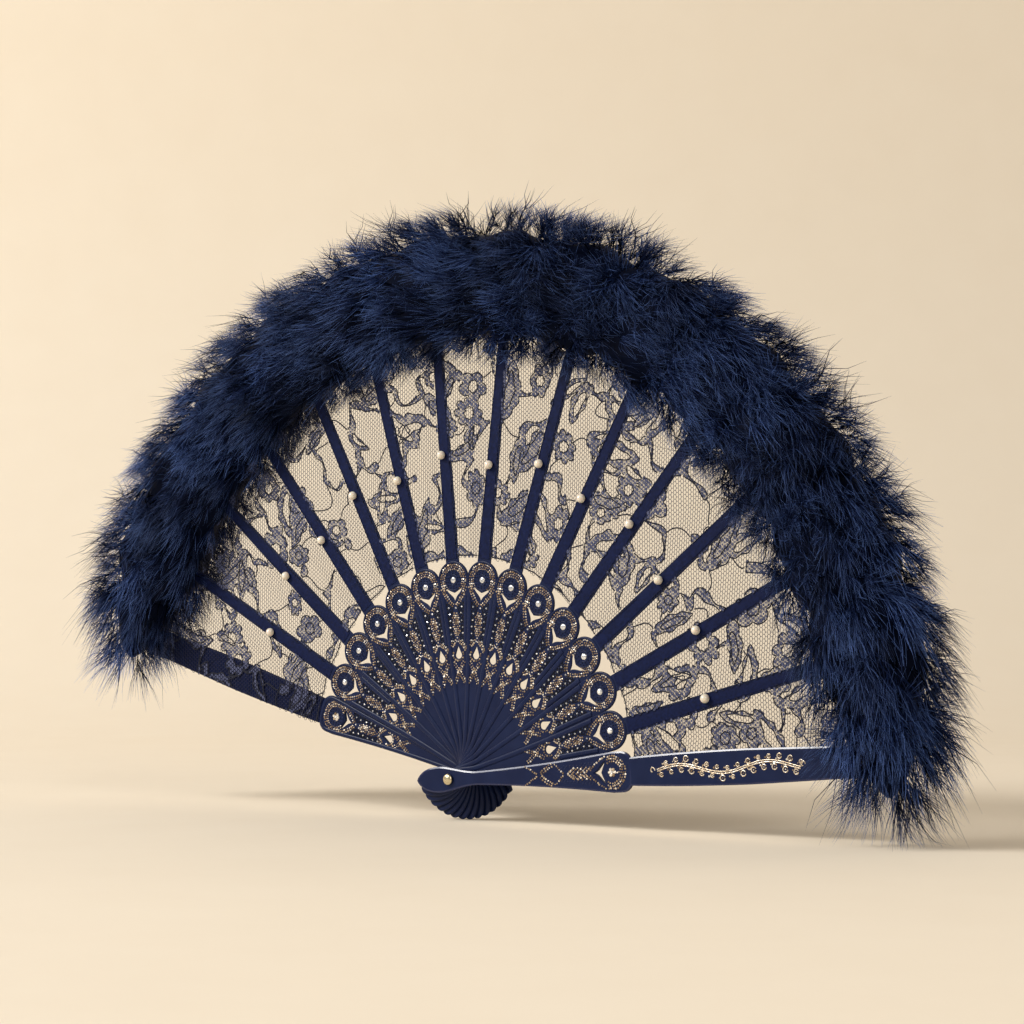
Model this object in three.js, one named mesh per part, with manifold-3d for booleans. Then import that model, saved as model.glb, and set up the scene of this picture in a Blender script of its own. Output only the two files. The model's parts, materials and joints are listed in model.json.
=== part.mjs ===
// Feather folding fan: two guards and thirteen inner sticks turn on one rivet, lace panels join
// the ribs, a feather boa runs along the rim and a pearl sits on each inner rib.
// Millimetres, +Z up. The rivet is the Y axis through the origin and the front faces -Y.
// Angles grow from +X towards +Z. Every stick is drawn along +X and turned to its place.
import * as THREE from 'three';
import { mergeVertices } from 'three/addons/utils/BufferGeometryUtils.js';
import Module from 'manifold-3d';

// Layout of the open fan
const STICK_COUNT = 15;
const FRONT_GUARD_ANGLE = 4;
const GAP_ANGLE = 11.4;
const CLEARANCE = 0.3;

// Gorge: the stiff decorated half of a stick, from its tail to its head
const STICK_THICKNESS = 1.1;
const TAIL_LENGTH = 17.5;
const TAIL_HALF_WIDTH = 5.4;
const TAIL_WIDEST_AT = 5;
const NECK_AT = 14.5;
const NECK_HALF_WIDTH = 2.8;
const HEAD_AT = 84;
const HEAD_HALF_WIDTH = 8.2;

// Cuts through the gorge: a bird with raised wings under the head, and a tear drop
const BIRD_WINGS_BELOW_HEAD = 3.2;
const BIRD_BACK_BELOW_HEAD = 5.8;
const BIRD_BEAK_BELOW_HEAD = 8.8;
const BIRD_EDGE_WALL = 3.2;
const TEAR_CUT_AT = 50.5;
const TEAR_CUT_LENGTH = 5.5;
const TEAR_CUT_HALF_WIDTH = 1.7;

// Rib: the thin half of an inner stick, under the lace
const RIB_THICKNESS = 0.7;
const RIB_BASE_HALF_WIDTH = 3.6;
const RIB_TIP_HALF_WIDTH = 2.7;
const RIM_REACH = 205;

// Guards: the two thicker outer sticks
const GUARD_THICKNESS = 2.2;
const GUARD_SHOULDER_BEYOND_HEAD = 9.5;
const GUARD_SHOULDER_RADIUS = 5;
const BLADE_THICKNESS = 1.7;
const BLADE_BASE_HALF_WIDTH = 5.3;
const BLADE_HALF_WIDTH = 7;
const BLADE_TIP_HALF_WIDTH = 6;
const BLADE_WIDEST_AT = 150;
const BLADE_TIP_RADIUS = 4;

// Lace leaf
const LEAF_THICKNESS = 0.3;
const LEAF_CREASE = 1;
const LEAF_RIM_MARGIN = 2;

// Feather boa
const BOA_CORE_BEYOND_RIM = 2;
const BOA_HALF_WIDTH = 29;
const BOA_HALF_DEPTH = 25;
const BOA_WAIST_SCALE = 0.88;
const BOA_END_ANGLE = 8;
const BOA_END_SCALE = 0.4;

// Flat-backed pearls, set a little to the side of each rib so that the fan folds past them
const PEARL_RADIUS = 1.85;
const PEARL_BACK_BEHIND_CENTRE = 0.5;
const PEARL_AT = 135.1;
const PEARL_STAGGER = 2.5;
const PEARL_SIDE_SHIFT = 1;

// Rivet and washer
const RIVET_RADIUS = 1.5;
const RIVET_HEAD_RADIUS = 2.3;
const RIVET_HEAD_HEIGHT = 1.2;
const WASHER_RADIUS = 2.9;
const WASHER_THICKNESS = 0.6;

// Fineness of curves
const OUTLINE_STEPS = 5;
const ROUND_STEPS = 16;
const PEARL_STEPS = 10;
const DOME_STEPS = 4;
const BOA_STEPS = 16;

const LAST = STICK_COUNT - 1;
const LAYER_PITCH = STICK_THICKNESS + CLEARANCE;
const STICK_BACK = STICK_THICKNESS / 2;
const RIB_FRONT = STICK_BACK - RIB_THICKNESS;
const LEAF_START = HEAD_AT + Math.max(HEAD_HALF_WIDTH, GUARD_SHOULDER_BEYOND_HEAD) + CLEARANCE;
const LEAF_END = RIM_REACH - LEAF_RIM_MARGIN;
const BOA_RADIUS = RIM_REACH + BOA_CORE_BEYOND_RIM;

const wasm = await Module();
wasm.setup();

const radians = THREE.MathUtils.degToRad;
const stickAngle = (i) => radians(FRONT_GUARD_ANGLE + i * GAP_ANGLE);
const stickLayer = (i) => i * LAYER_PITCH;
const isGuard = (i) => i === 0 || i === LAST;
const label = (i) => String(i).padStart(2, '0');
const polar = (radius, angle, y) => (
  new THREE.Vector3(radius * Math.cos(angle), y, radius * Math.sin(angle))
);

// Colours and finishes
const navyPlastic = () => finish(0x1d2547, 0.28, 0);
const navyLace = () => finish(0x26335e, 0.85, 0);
const navyFeather = () => finish(0x14244e, 0.95, 0);
const creamPearl = () => finish(0xf1e6d2, 0.25, 0);
const paleGold = () => finish(0xd9c8a0, 0.3, 0.9);

function finish(color, roughness, metalness) {
  return new THREE.MeshStandardMaterial({ color, roughness, metalness });
}

function named(name, geometry, material) {
  const mesh = new THREE.Mesh(geometry, material);
  mesh.name = name;
  return mesh;
}

// Solids

function solidOf(geometry) {
  geometry.deleteAttribute('normal');
  geometry.deleteAttribute('uv');
  const merged = mergeVertices(geometry);
  return new wasm.Manifold(new wasm.Mesh({
    numProp: 3,
    vertProperties: new Float32Array(merged.attributes.position.array),
    triVerts: new Uint32Array(merged.index.array),
  }));
}

function union(first, second) {
  const joined = solidOf(first).add(solidOf(second)).getMesh();
  const geometry = new THREE.BufferGeometry();
  geometry.setAttribute('position', new THREE.BufferAttribute(joined.vertProperties, 3));
  geometry.setIndex(new THREE.BufferAttribute(joined.triVerts, 1));
  geometry.computeVertexNormals();
  return geometry;
}

// A flat plate: its outline lies in the fan's plane, between a front and a back depth
function plate(shape, front, back) {
  const depth = back - front;
  const geometry = new THREE.ExtrudeGeometry(shape, {
    depth, bevelEnabled: false, curveSegments: OUTLINE_STEPS,
  });
  return geometry.rotateX(Math.PI / 2).translate(0, back, 0);
}

// A closed skin over a row of rings with equal counts. outline is the ring drawn flat, counter-
// clockwise when the rings advance towards the eye, and it closes both ends. On a sheet the second
// half of each ring runs back along the first, and both halves split along the same diagonals.
function sweep(rings, outline, sheet = false) {
  const count = outline.length;
  const index = [];
  for (let s = 0; s + 1 < rings.length; s += 1) {
    for (let j = 0; j < count; j += 1) {
      const a = s * count + j;
      const b = s * count + (j + 1) % count;
      if (sheet && j >= count / 2) {
        index.push(a, b, a + count, b, b + count, a + count);
      } else {
        index.push(a, b, b + count, a, b + count, a + count);
      }
    }
  }
  const top = (rings.length - 1) * count;
  for (const [a, b, c] of THREE.ShapeUtils.triangulateShape(outline, [])) {
    index.push(c, b, a, top + a, top + b, top + c);
  }
  const geometry = new THREE.BufferGeometry().setFromPoints(rings.flat());
  geometry.setIndex(index);
  geometry.computeVertexNormals();
  return geometry;
}

// Sticks and guards

// Half of the gorge's width between its neck and its head
function gorgeHalfWidth(radius) {
  const share = (radius - NECK_AT) / (HEAD_AT - NECK_AT);
  return NECK_HALF_WIDTH + (HEAD_HALF_WIDTH - NECK_HALF_WIDTH) * share;
}

function gorgeOutline(guard) {
  const shape = new THREE.Shape();
  const flare = (HEAD_AT + NECK_AT) / 2;
  const tailCurl = (TAIL_LENGTH + TAIL_WIDEST_AT) / 2;
  shape.moveTo(-TAIL_LENGTH, 0);
  shape.quadraticCurveTo(-tailCurl, -TAIL_HALF_WIDTH, -TAIL_WIDEST_AT, -TAIL_HALF_WIDTH);
  shape.bezierCurveTo(
    0, -TAIL_HALF_WIDTH, NECK_AT / 2, -NECK_HALF_WIDTH, NECK_AT, -NECK_HALF_WIDTH);
  shape.quadraticCurveTo(
    flare, -(NECK_HALF_WIDTH + gorgeHalfWidth(flare)) / 2, HEAD_AT, -HEAD_HALF_WIDTH);
  if (guard) {
    const end = HEAD_AT + GUARD_SHOULDER_BEYOND_HEAD;
    const corner = end - GUARD_SHOULDER_RADIUS;
    const side = HEAD_HALF_WIDTH - GUARD_SHOULDER_RADIUS;
    shape.absarc(corner, -side, GUARD_SHOULDER_RADIUS, -Math.PI / 2, 0);
    shape.absarc(corner, side, GUARD_SHOULDER_RADIUS, 0, Math.PI / 2);
  } else {
    shape.absarc(HEAD_AT, 0, HEAD_HALF_WIDTH, -Math.PI / 2, Math.PI / 2);
  }
  shape.lineTo(HEAD_AT, HEAD_HALF_WIDTH);
  shape.quadraticCurveTo(
    flare, (NECK_HALF_WIDTH + gorgeHalfWidth(flare)) / 2, NECK_AT, NECK_HALF_WIDTH);
  shape.bezierCurveTo(
    NECK_AT / 2, NECK_HALF_WIDTH, 0, TAIL_HALF_WIDTH, -TAIL_WIDEST_AT, TAIL_HALF_WIDTH);
  shape.quadraticCurveTo(-tailCurl, TAIL_HALF_WIDTH, -TAIL_LENGTH, 0);
  shape.holes.push(rivetHole(), birdCut(), tearCut());
  return shape;
}

function rivetHole() {
  return new THREE.Path().absarc(0, 0, RIVET_RADIUS + CLEARANCE, 0, 2 * Math.PI, true);
}

// A bird with raised wings: its back bends round the head and its beak points to the rivet
function birdCut() {
  const wings = HEAD_AT - BIRD_WINGS_BELOW_HEAD;
  const back = HEAD_AT - BIRD_BACK_BELOW_HEAD;
  const beak = HEAD_AT - BIRD_BEAK_BELOW_HEAD;
  const span = gorgeHalfWidth(beak) - BIRD_EDGE_WALL;
  const path = new THREE.Path();
  path.moveTo(beak, 0);
  path.quadraticCurveTo(back, span * 3 / 4, wings, span);
  path.quadraticCurveTo(back, span / 2, back, 0);
  path.quadraticCurveTo(back, -span / 2, wings, -span);
  path.quadraticCurveTo(back, -span * 3 / 4, beak, 0);
  return path;
}

function tearCut() {
  const tip = TEAR_CUT_AT + TEAR_CUT_LENGTH;
  const round = TEAR_CUT_AT + TEAR_CUT_HALF_WIDTH;
  const path = new THREE.Path();
  path.moveTo(tip, 0);
  path.absarc(round, 0, TEAR_CUT_HALF_WIDTH, Math.PI / 2, 3 * Math.PI / 2);
  path.lineTo(tip, 0);
  return path;
}

function ribOutline() {
  const tip = RIM_REACH - RIB_TIP_HALF_WIDTH;
  const shape = new THREE.Shape();
  shape.moveTo(HEAD_AT, -RIB_BASE_HALF_WIDTH);
  shape.absarc(tip, 0, RIB_TIP_HALF_WIDTH, -Math.PI / 2, Math.PI / 2);
  shape.lineTo(HEAD_AT, RIB_BASE_HALF_WIDTH);
  return shape;
}

function bladeOutline() {
  const corner = RIM_REACH - BLADE_TIP_RADIUS;
  const side = BLADE_TIP_HALF_WIDTH - BLADE_TIP_RADIUS;
  const shape = new THREE.Shape();
  shape.moveTo(HEAD_AT, -BLADE_BASE_HALF_WIDTH);
  shape.quadraticCurveTo(
    (HEAD_AT + BLADE_WIDEST_AT) / 2, -BLADE_HALF_WIDTH, BLADE_WIDEST_AT, -BLADE_HALF_WIDTH);
  shape.absarc(corner, -side, BLADE_TIP_RADIUS, -Math.PI / 2, 0);
  shape.absarc(corner, side, BLADE_TIP_RADIUS, 0, Math.PI / 2);
  shape.lineTo(BLADE_WIDEST_AT, BLADE_HALF_WIDTH);
  shape.quadraticCurveTo(
    (HEAD_AT + BLADE_WIDEST_AT) / 2, BLADE_HALF_WIDTH, HEAD_AT, BLADE_BASE_HALF_WIDTH);
  return shape;
}

// Depths of a stick's two halves, measured from its own layer
function gorgeDepth(i) {
  if (i === 0) return [STICK_BACK - GUARD_THICKNESS, STICK_BACK];
  if (i === LAST) return [-STICK_BACK, GUARD_THICKNESS - STICK_BACK];
  return [-STICK_BACK, STICK_BACK];
}

function upperDepth(i) {
  if (i === 0) return [STICK_BACK - BLADE_THICKNESS, STICK_BACK];
  if (i === LAST) return [RIB_FRONT, RIB_FRONT + BLADE_THICKNESS];
  return [RIB_FRONT, STICK_BACK];
}

function stick(i) {
  const gorge = plate(gorgeOutline(isGuard(i)), ...gorgeDepth(i));
  const upper = plate(isGuard(i) ? bladeOutline() : ribOutline(), ...upperDepth(i));
  return union(gorge, upper);
}

function stickName(i) {
  if (i === 0) return 'front_guard';
  if (i === LAST) return 'rear_guard';
  return `stick_${label(i)}`;
}

// Lace leaf

// Depth of the lace where it lies on a stick: behind the front guard, before all the others
function leafDepth(i) {
  const offset = CLEARANCE + LEAF_THICKNESS / 2;
  return i === 0 ? STICK_BACK + offset : stickLayer(i) + RIB_FRONT - offset;
}

// Depth of the lace at its crease, half-way between stick i - 1 and stick i
function creaseDepth(i) {
  return (leafDepth(i - 1) + leafDepth(i)) / 2 + LEAF_CREASE;
}

function upperHalfWidth(i) {
  return isGuard(i) ? BLADE_HALF_WIDTH : RIB_BASE_HALF_WIDTH;
}

// One lace panel, from the middle of stick i - 1 to the middle of stick i. It covers the whole
// inner face of the rear guard.
function leaf(i) {
  const [from, to] = [stickAngle(i - 1), stickAngle(i)];
  const half = LEAF_THICKNESS / 2;
  const overhang = i === LAST ? BLADE_TIP_HALF_WIDTH : -CLEARANCE / 2;
  const ring = (radius) => {
    const columns = [
      [from + CLEARANCE / 2 / radius, leafDepth(i - 1)],
      [from + upperHalfWidth(i - 1) / radius, leafDepth(i - 1)],
      [(from + to) / 2, creaseDepth(i)],
      [to - upperHalfWidth(i) / radius, leafDepth(i)],
      [to + overhang / radius, leafDepth(i)],
    ];
    const back = columns.map(([angle, y]) => [angle, y + half]);
    const front = columns.map(([angle, y]) => [angle, y - half]).reverse();
    return [...back, ...front];
  };
  const rings = [LEAF_START, LEAF_END].map((radius) => (
    ring(radius).map(([angle, y]) => polar(radius, angle, y))
  ));
  const outline = ring(LEAF_START).map(([angle, y]) => new THREE.Vector2(angle * LEAF_START, -y));
  return sweep(rings, outline, true);
}

// Feather boa

// The slot in a tuft of the boa that its stick's tip and the lace run into
function boaSlot(i) {
  const [front, back] = upperDepth(i);
  const lace = [leafDepth(i)];
  if (i > 0) lace.push(creaseDepth(i));
  if (i < LAST) lace.push(creaseDepth(i + 1));
  const depths = lace.map((y) => y - stickLayer(i));
  const reach = LEAF_THICKNESS / 2;
  return [
    Math.min(front, ...depths.map((y) => y - reach)) - CLEARANCE,
    Math.max(back, ...depths.map((y) => y + reach)) + CLEARANCE,
  ];
}

// The boa's oval section with its slot, as radius and depth
function boaSection(i, scale) {
  const [front, back] = boaSlot(i);
  const halfDepth = BOA_HALF_DEPTH * scale;
  const start = Math.asin(-front / halfDepth);
  const end = 2 * Math.PI - Math.asin(back / halfDepth);
  const points = [];
  for (let k = 0; k <= BOA_STEPS; k += 1) {
    const turn = THREE.MathUtils.lerp(start, end, k / BOA_STEPS);
    const radius = BOA_RADIUS - BOA_HALF_WIDTH * scale * Math.cos(turn);
    points.push(new THREE.Vector2(radius, -halfDepth * Math.sin(turn)));
  }
  const floor = RIM_REACH + CLEARANCE;
  points.push(new THREE.Vector2(floor, back), new THREE.Vector2(floor, front));
  return points;
}

// Stations along one tuft as angle and scale: it swells in the middle, and the boa's ends are round
function boaStations(i) {
  const half = radians(GAP_ANGLE) / 2 - CLEARANCE / 2 / (BOA_RADIUS - BOA_HALF_WIDTH);
  const swell = (share) => [share * half, 1 - (1 - BOA_WAIST_SCALE) * share * share];
  const round = (share) => [
    share * radians(BOA_END_ANGLE),
    BOA_END_SCALE + (1 - BOA_END_SCALE) * Math.sqrt(1 - share * share),
  ];
  const before = i === 0 ? [-1, -0.9, -0.65, -0.35].map(round) : [-1, -0.5].map(swell);
  const after = i === LAST ? [0.35, 0.65, 0.9, 1].map(round) : [0.5, 1].map(swell);
  return [...before, [0, 1], ...after];
}

function tuft(i) {
  const stations = boaStations(i);
  const rings = stations.map(([angle, scale]) => (
    boaSection(i, scale).map((point) => polar(point.x, angle, point.y))
  ));
  return sweep(rings, boaSection(i, stations[0][1]));
}

// Pearls

function pearl() {
  const flat = PEARL_BACK_BEHIND_CENTRE;
  const stop = Math.acos(-flat / PEARL_RADIUS);
  const profile = [];
  for (let k = 0; k <= PEARL_STEPS / 2; k += 1) {
    const turn = stop * k / (PEARL_STEPS / 2);
    profile.push(new THREE.Vector2(PEARL_RADIUS * Math.sin(turn), -PEARL_RADIUS * Math.cos(turn)));
  }
  profile.push(new THREE.Vector2(0, flat));
  return new THREE.LatheGeometry(profile, PEARL_STEPS).translate(0, -flat, 0);
}

function pearlPlace(i) {
  const stagger = i % 2 ? -PEARL_STAGGER : PEARL_STAGGER;
  const seat = leafDepth(i) - stickLayer(i) - LEAF_THICKNESS / 2 - CLEARANCE;
  return new THREE.Vector3(PEARL_AT + stagger, seat, PEARL_SIDE_SHIFT);
}

// Rivet

const STACK_FRONT = gorgeDepth(0)[0] - CLEARANCE;
const STACK_BACK = stickLayer(LAST) + gorgeDepth(LAST)[1] + CLEARANCE;
const WASHER_BACK = STACK_BACK + WASHER_THICKNESS;

// Half of a rivet head's dome, from its crown to its rim
function dome(seat, side) {
  const points = [];
  for (let k = 0; k <= DOME_STEPS; k += 1) {
    const turn = Math.PI / 2 * k / DOME_STEPS;
    const height = RIVET_HEAD_HEIGHT * Math.cos(turn);
    points.push(new THREE.Vector2(RIVET_HEAD_RADIUS * Math.sin(turn), seat + side * height));
  }
  return points;
}

function rivet() {
  const peen = WASHER_BACK + CLEARANCE;
  return new THREE.LatheGeometry([
    ...dome(STACK_FRONT, -1),
    new THREE.Vector2(RIVET_RADIUS, STACK_FRONT),
    new THREE.Vector2(RIVET_RADIUS, peen),
    ...dome(peen, 1).reverse(),
  ], ROUND_STEPS);
}

function washer() {
  const bore = RIVET_RADIUS + CLEARANCE;
  return new THREE.LatheGeometry([
    new THREE.Vector2(bore, STACK_BACK),
    new THREE.Vector2(WASHER_RADIUS, STACK_BACK),
    new THREE.Vector2(WASHER_RADIUS, WASHER_BACK),
    new THREE.Vector2(bore, WASHER_BACK),
    new THREE.Vector2(bore, STACK_BACK),
  ], ROUND_STEPS);
}

// Assembly: each stick group holds what turns with that stick

function stickGroup(i) {
  const group = new THREE.Group();
  group.add(named(stickName(i), stick(i), navyPlastic()));
  group.add(named(`feather_${label(i)}`, tuft(i), navyFeather()));
  if (!isGuard(i)) {
    const bead = named(`pearl_${label(i)}`, pearl(), creamPearl());
    bead.position.copy(pearlPlace(i));
    group.add(bead);
  }
  group.position.y = stickLayer(i);
  group.rotation.y = -stickAngle(i);
  return group;
}

const fan = new THREE.Group();
fan.name = 'feather_fan';
for (let i = 0; i <= LAST; i += 1) fan.add(stickGroup(i));
for (let i = 1; i <= LAST; i += 1) fan.add(named(`leaf_${label(i)}`, leaf(i), navyLace()));
fan.add(named('rivet', rivet(), paleGold()));
fan.add(named('rivet_washer', washer(), paleGold()));

export default fan;
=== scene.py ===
# %% [markdown]
# # A feather folding fan
# Fifteen moulded sticks turn on one rivet, a lace leaf joins them, and a feather boa runs along the
# rim. The CAD model gives every piece its place and its motion, so this script only dresses it: the
# imported model is loaded first, and each new stick, rivet, pearl and boa piece then rides on one of
# its bodies, while the lace panels stay where they are drawn. Everything is in metres, with the front
# of the fan facing -Y.

# %% Load the imported model
import json
import math
import bpy
import numpy as np
from mathutils import Matrix, Vector
from mathutils.geometry import delaunay_2d_cdt, tessellate_polygon

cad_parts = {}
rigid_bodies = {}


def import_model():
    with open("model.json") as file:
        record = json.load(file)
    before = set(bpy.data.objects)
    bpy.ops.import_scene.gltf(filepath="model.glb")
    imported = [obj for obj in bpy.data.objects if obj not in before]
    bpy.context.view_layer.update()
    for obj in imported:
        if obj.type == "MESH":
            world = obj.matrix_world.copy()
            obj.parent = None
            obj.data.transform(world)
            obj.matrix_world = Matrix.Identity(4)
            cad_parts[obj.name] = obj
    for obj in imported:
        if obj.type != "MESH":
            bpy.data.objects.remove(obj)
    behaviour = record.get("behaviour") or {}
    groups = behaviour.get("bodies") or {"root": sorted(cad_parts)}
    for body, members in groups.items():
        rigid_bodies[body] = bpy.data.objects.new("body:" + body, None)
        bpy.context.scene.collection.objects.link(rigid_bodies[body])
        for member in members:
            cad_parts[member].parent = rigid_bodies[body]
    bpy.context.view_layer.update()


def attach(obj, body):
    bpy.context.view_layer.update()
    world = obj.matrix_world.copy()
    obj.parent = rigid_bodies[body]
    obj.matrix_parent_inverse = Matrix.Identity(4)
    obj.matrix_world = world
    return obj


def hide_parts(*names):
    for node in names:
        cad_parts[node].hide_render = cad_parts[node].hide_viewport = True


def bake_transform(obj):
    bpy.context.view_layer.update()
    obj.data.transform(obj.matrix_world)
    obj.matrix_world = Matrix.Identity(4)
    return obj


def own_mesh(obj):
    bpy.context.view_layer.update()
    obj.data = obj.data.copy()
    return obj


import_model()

# %% [markdown]
# ## The drawing board
# A fan is drawn easily when each stick lies flat in front of you. So every stick is drawn once on a
# board in millimetres, with x out along the stick, y across it and z towards the viewer. One matrix
# then turns the drawing to its place in the fan. Writing the turn into the mesh, and not into the
# object, keeps every object at the origin, where the patterns on Object coordinates expect it.

# %% Layout of the fan, in millimetres
MM = 0.001
STICKS = 15
LAST = STICKS - 1
FIRST_ANGLE = math.radians(4)
GAP = math.radians(11.4)
LAYER = 1.4
FLAT_BOARD = Matrix.Rotation(math.pi / 2, 4, "X") @ Matrix.Scale(MM, 4)


def stick_angle(i):
    return FIRST_ANGLE + i * GAP


def board_of(i):
    turn = Matrix.Rotation(-stick_angle(i), 4, "Y")
    return Matrix.Translation((0, i * LAYER * MM, 0)) @ turn @ FLAT_BOARD


def stick_name(i):
    return {0: "front_guard", LAST: "rear_guard"}.get(i, f"stick_{i:02d}")


print("open angle:", round(math.degrees(stick_angle(LAST) - stick_angle(0)), 1), "degrees")

# %% [markdown]
# ## Nodes
# Shader trees and geometry trees are built with the same small function: it adds one node, sets its
# properties, and then sets or links its inputs. Colours are written as the sRGB hex values that a
# screen shows, and one function makes them linear, because shaders work with linear light.

# %% One function for nodes, one for colours
def give(node, inputs):
    named = inputs if isinstance(inputs, dict) else dict(enumerate(inputs))
    for socket, value in named.items():
        if isinstance(value, bpy.types.Node):
            value = value.outputs[0]
        if isinstance(value, bpy.types.NodeSocket):
            node.id_data.links.new(value, node.inputs[socket])
        else:
            node.inputs[socket].default_value = value
    return node


def add(tree, kind, inputs=(), **settings):
    node = tree.nodes.new(kind)
    for name, value in settings.items():
        setattr(node, name, value)
    return give(node, inputs)


def linear(hex_colour):
    parts = [int(hex_colour[k:k + 2], 16) / 255 for k in (1, 3, 5)]
    return [c / 12.92 if c <= 0.04045 else ((c + 0.055) / 1.055) ** 2.4 for c in parts] + [1]


def new_finish(name, **sockets):
    material = bpy.data.materials.new(name)
    material.use_nodes = True
    tree = material.node_tree
    shader = tree.nodes["Principled BSDF"]
    give(shader, {socket.replace("_", " "): value for socket, value in sockets.items()})
    return material, tree, shader


print("navy in linear light:", [round(c, 4) for c in linear("#1c2449")])

# %% [markdown]
# ## Navy ABS
# The sticks are injection-moulded ABS, dyed in the mass. Moulded ABS is smooth and half glossy: soft
# highlights along every rounded edge, and a surface that isn't quite even where the plastic flowed. A
# broad noise varies colour and gloss a little, and a fine one gives the skin its faint texture. The
# same plastic is grained like cloth on the ribs and the rear blade. In the quilted fields it is
# duller and painted near black, painted shade in the gaps between the studs. On the polished bevel it
# is glossier and painted a little lighter, a painted highlight besides the real reflection. So one
# function makes all four.

# %% Four finishes of navy ABS
def mottled(tree, size, detail, dark, light):
    place = add(tree, "ShaderNodeTexCoord").outputs["Object"]
    noise = add(tree, "ShaderNodeTexNoise", {
        "Vector": place, "Scale": 1 / (size * MM), "Detail": detail})
    tint = add(tree, "ShaderNodeMix", {
        "Factor": noise, 6: linear(dark), 7: linear(light)}, data_type="RGBA")
    return tint.outputs[2], noise, place


def abs_finish(name, dark, light, smoothest, roughest, shine, mark=7.0):
    material, tree, shader = new_finish(name, Specular_IOR_Level=shine)
    # Flow marks of about 7 mm, or the grain of a rib of about 1 mm
    tint, flow, place = mottled(tree, mark, 3, dark, light)
    gloss = add(tree, "ShaderNodeMapRange", {
        "Value": flow, "To Min": smoothest, "To Max": roughest})
    # Skin texture of about 0.5 mm, coarser than the real one so that it shows
    skin = add(tree, "ShaderNodeTexNoise", {
        "Vector": place, "Scale": 1 / (0.5 * MM), "Detail": 2})
    bump = add(tree, "ShaderNodeBump", {
        "Height": skin, "Strength": 0.12, "Distance": 0.05 * MM})
    give(shader, {"Base Color": tint, "Roughness": gloss, "Normal": bump})
    return material


navy_abs = abs_finish("navy_moulded_abs", "#0b1536", "#142247", 0.26, 0.42, 0.18)
# Near black and duller: painted shade in the gaps between the quilt studs
dark_shade_abs = abs_finish("navy_dark_shade_abs", "#03050e", "#080d22", 0.45, 0.65, 0.12)
# Glossier and a little lighter than the moulded navy: the gloss is real, the lighter colour is a
# painted highlight
polished_highlight_abs = abs_finish("navy_polished_highlight_abs", "#101a40", "#1c2858", 0.12, 0.18, 0.6)
grained_abs = abs_finish("navy_grained_abs", "#010310", "#142150", 0.4, 0.6, 0.1, mark=1.1)
print("made", navy_abs.name, dark_shade_abs.name, polished_highlight_abs.name, grained_abs.name)

# %% [markdown]
# ## Glitter and stones
# The gold ornament is dots of glitter lacquer: metal flakes in clear lacquer, champagne in colour,
# and the lightest dots are painted almost white, a painted glint of flakes that flash. Each dot
# carries a random number called shade, which picks its colour and gloss, so neighbours never look
# alike. The stones are foiled glass: a mirror under clear facets, which shows its surroundings in
# hard patches. Patches the size of a facet are also painted lighter and darker into its colour, as
# painted reflections.

# %% Gold glitter lacquer and foiled glass
gold_glitter, tree, shader = new_finish("gold_glitter_lacquer", Metallic=0.5)
place = add(tree, "ShaderNodeTexCoord").outputs["Object"]
shade = add(tree, "ShaderNodeAttribute", attribute_name="shade").outputs["Fac"]
flake_tone_and_glint = add(tree, "ShaderNodeValToRGB", {"Fac": shade})
colours = flake_tone_and_glint.color_ramp.elements
# The near-white end of the ramp is a painted glint of a flashing flake; the rest is the lacquer's
# random tone
for stop, colour in ((0.0, "#6a5947"), (0.35, "#a18a70"), (0.7, "#d2bfa4"), (0.9, "#fff8ec")):
    colours.new(stop).color = linear(colour)
# The two stops that a new ramp starts with go
colours.remove(colours[0])
colours.remove(colours[-1])
gloss = add(tree, "ShaderNodeMapRange", {"Value": shade, "To Min": 0.45, "To Max": 0.18})
# Flakes of about 0.2 mm
grit = add(tree, "ShaderNodeTexVoronoi", {"Vector": place, "Scale": 1 / (0.2 * MM)})
bump = add(tree, "ShaderNodeBump", {"Height": grit, "Strength": 0.4, "Distance": 0.05 * MM})
give(shader, {"Base Color": flake_tone_and_glint, "Roughness": gloss, "Normal": bump})

foiled_glass, tree, shader = new_finish(
    "foiled_glass", Metallic=0.65, Roughness=0.1, Coat_Weight=0.6, Coat_Roughness=0.03)
place = add(tree, "ShaderNodeTexCoord").outputs["Object"]
# Painted reflections: lighter and darker patches of about 0.9 mm, the size of a facet
painted_facet_glint = add(tree, "ShaderNodeTexVoronoi", {"Vector": place, "Scale": 1 / (0.9 * MM)})
split = add(tree, "ShaderNodeSeparateColor", {"Color": painted_facet_glint.outputs["Color"]})
tint = add(tree, "ShaderNodeMix", {
    "Factor": split, 6: linear("#c9ccd2"), 7: linear("#ffffff")}, data_type="RGBA")
give(shader, {"Base Color": tint.outputs[2]})
print("made", gold_glitter.name, "and", foiled_glass.name)

# %% [markdown]
# ## Geometry trees for bars and studs
# Nearly all ornament on the sticks is one of two things: a rounded bar that follows a line, or a
# small stud that repeats on many points. So two Geometry Nodes trees do it all. The first sweeps an
# oval along the edges of a mesh, and the second puts a cone on every point, with a little random
# tilt so that each one catches the light in its own way. The result is read back as a plain mesh.

# %% Helpers that build a tree and use it once
def new_tree(name, **sizes):
    tree = bpy.data.node_groups.new(name, "GeometryNodeTree")
    tree.interface.new_socket("Geometry", in_out="INPUT", socket_type="NodeSocketGeometry")
    for label, kind in sizes.items():
        tree.interface.new_socket(label, in_out="INPUT", socket_type="NodeSocket" + kind)
    tree.interface.new_socket("Geometry", in_out="OUTPUT", socket_type="NodeSocketGeometry")
    return tree, add(tree, "NodeGroupInput").outputs


def end_tree(tree, geometry, material):
    plain = add(tree, "GeometryNodeRealizeInstances", {"Geometry": geometry})
    coated = add(tree, "GeometryNodeSetMaterial", {"Geometry": plain, "Material": material})
    add(tree, "NodeGroupOutput", {"Geometry": coated})


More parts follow.
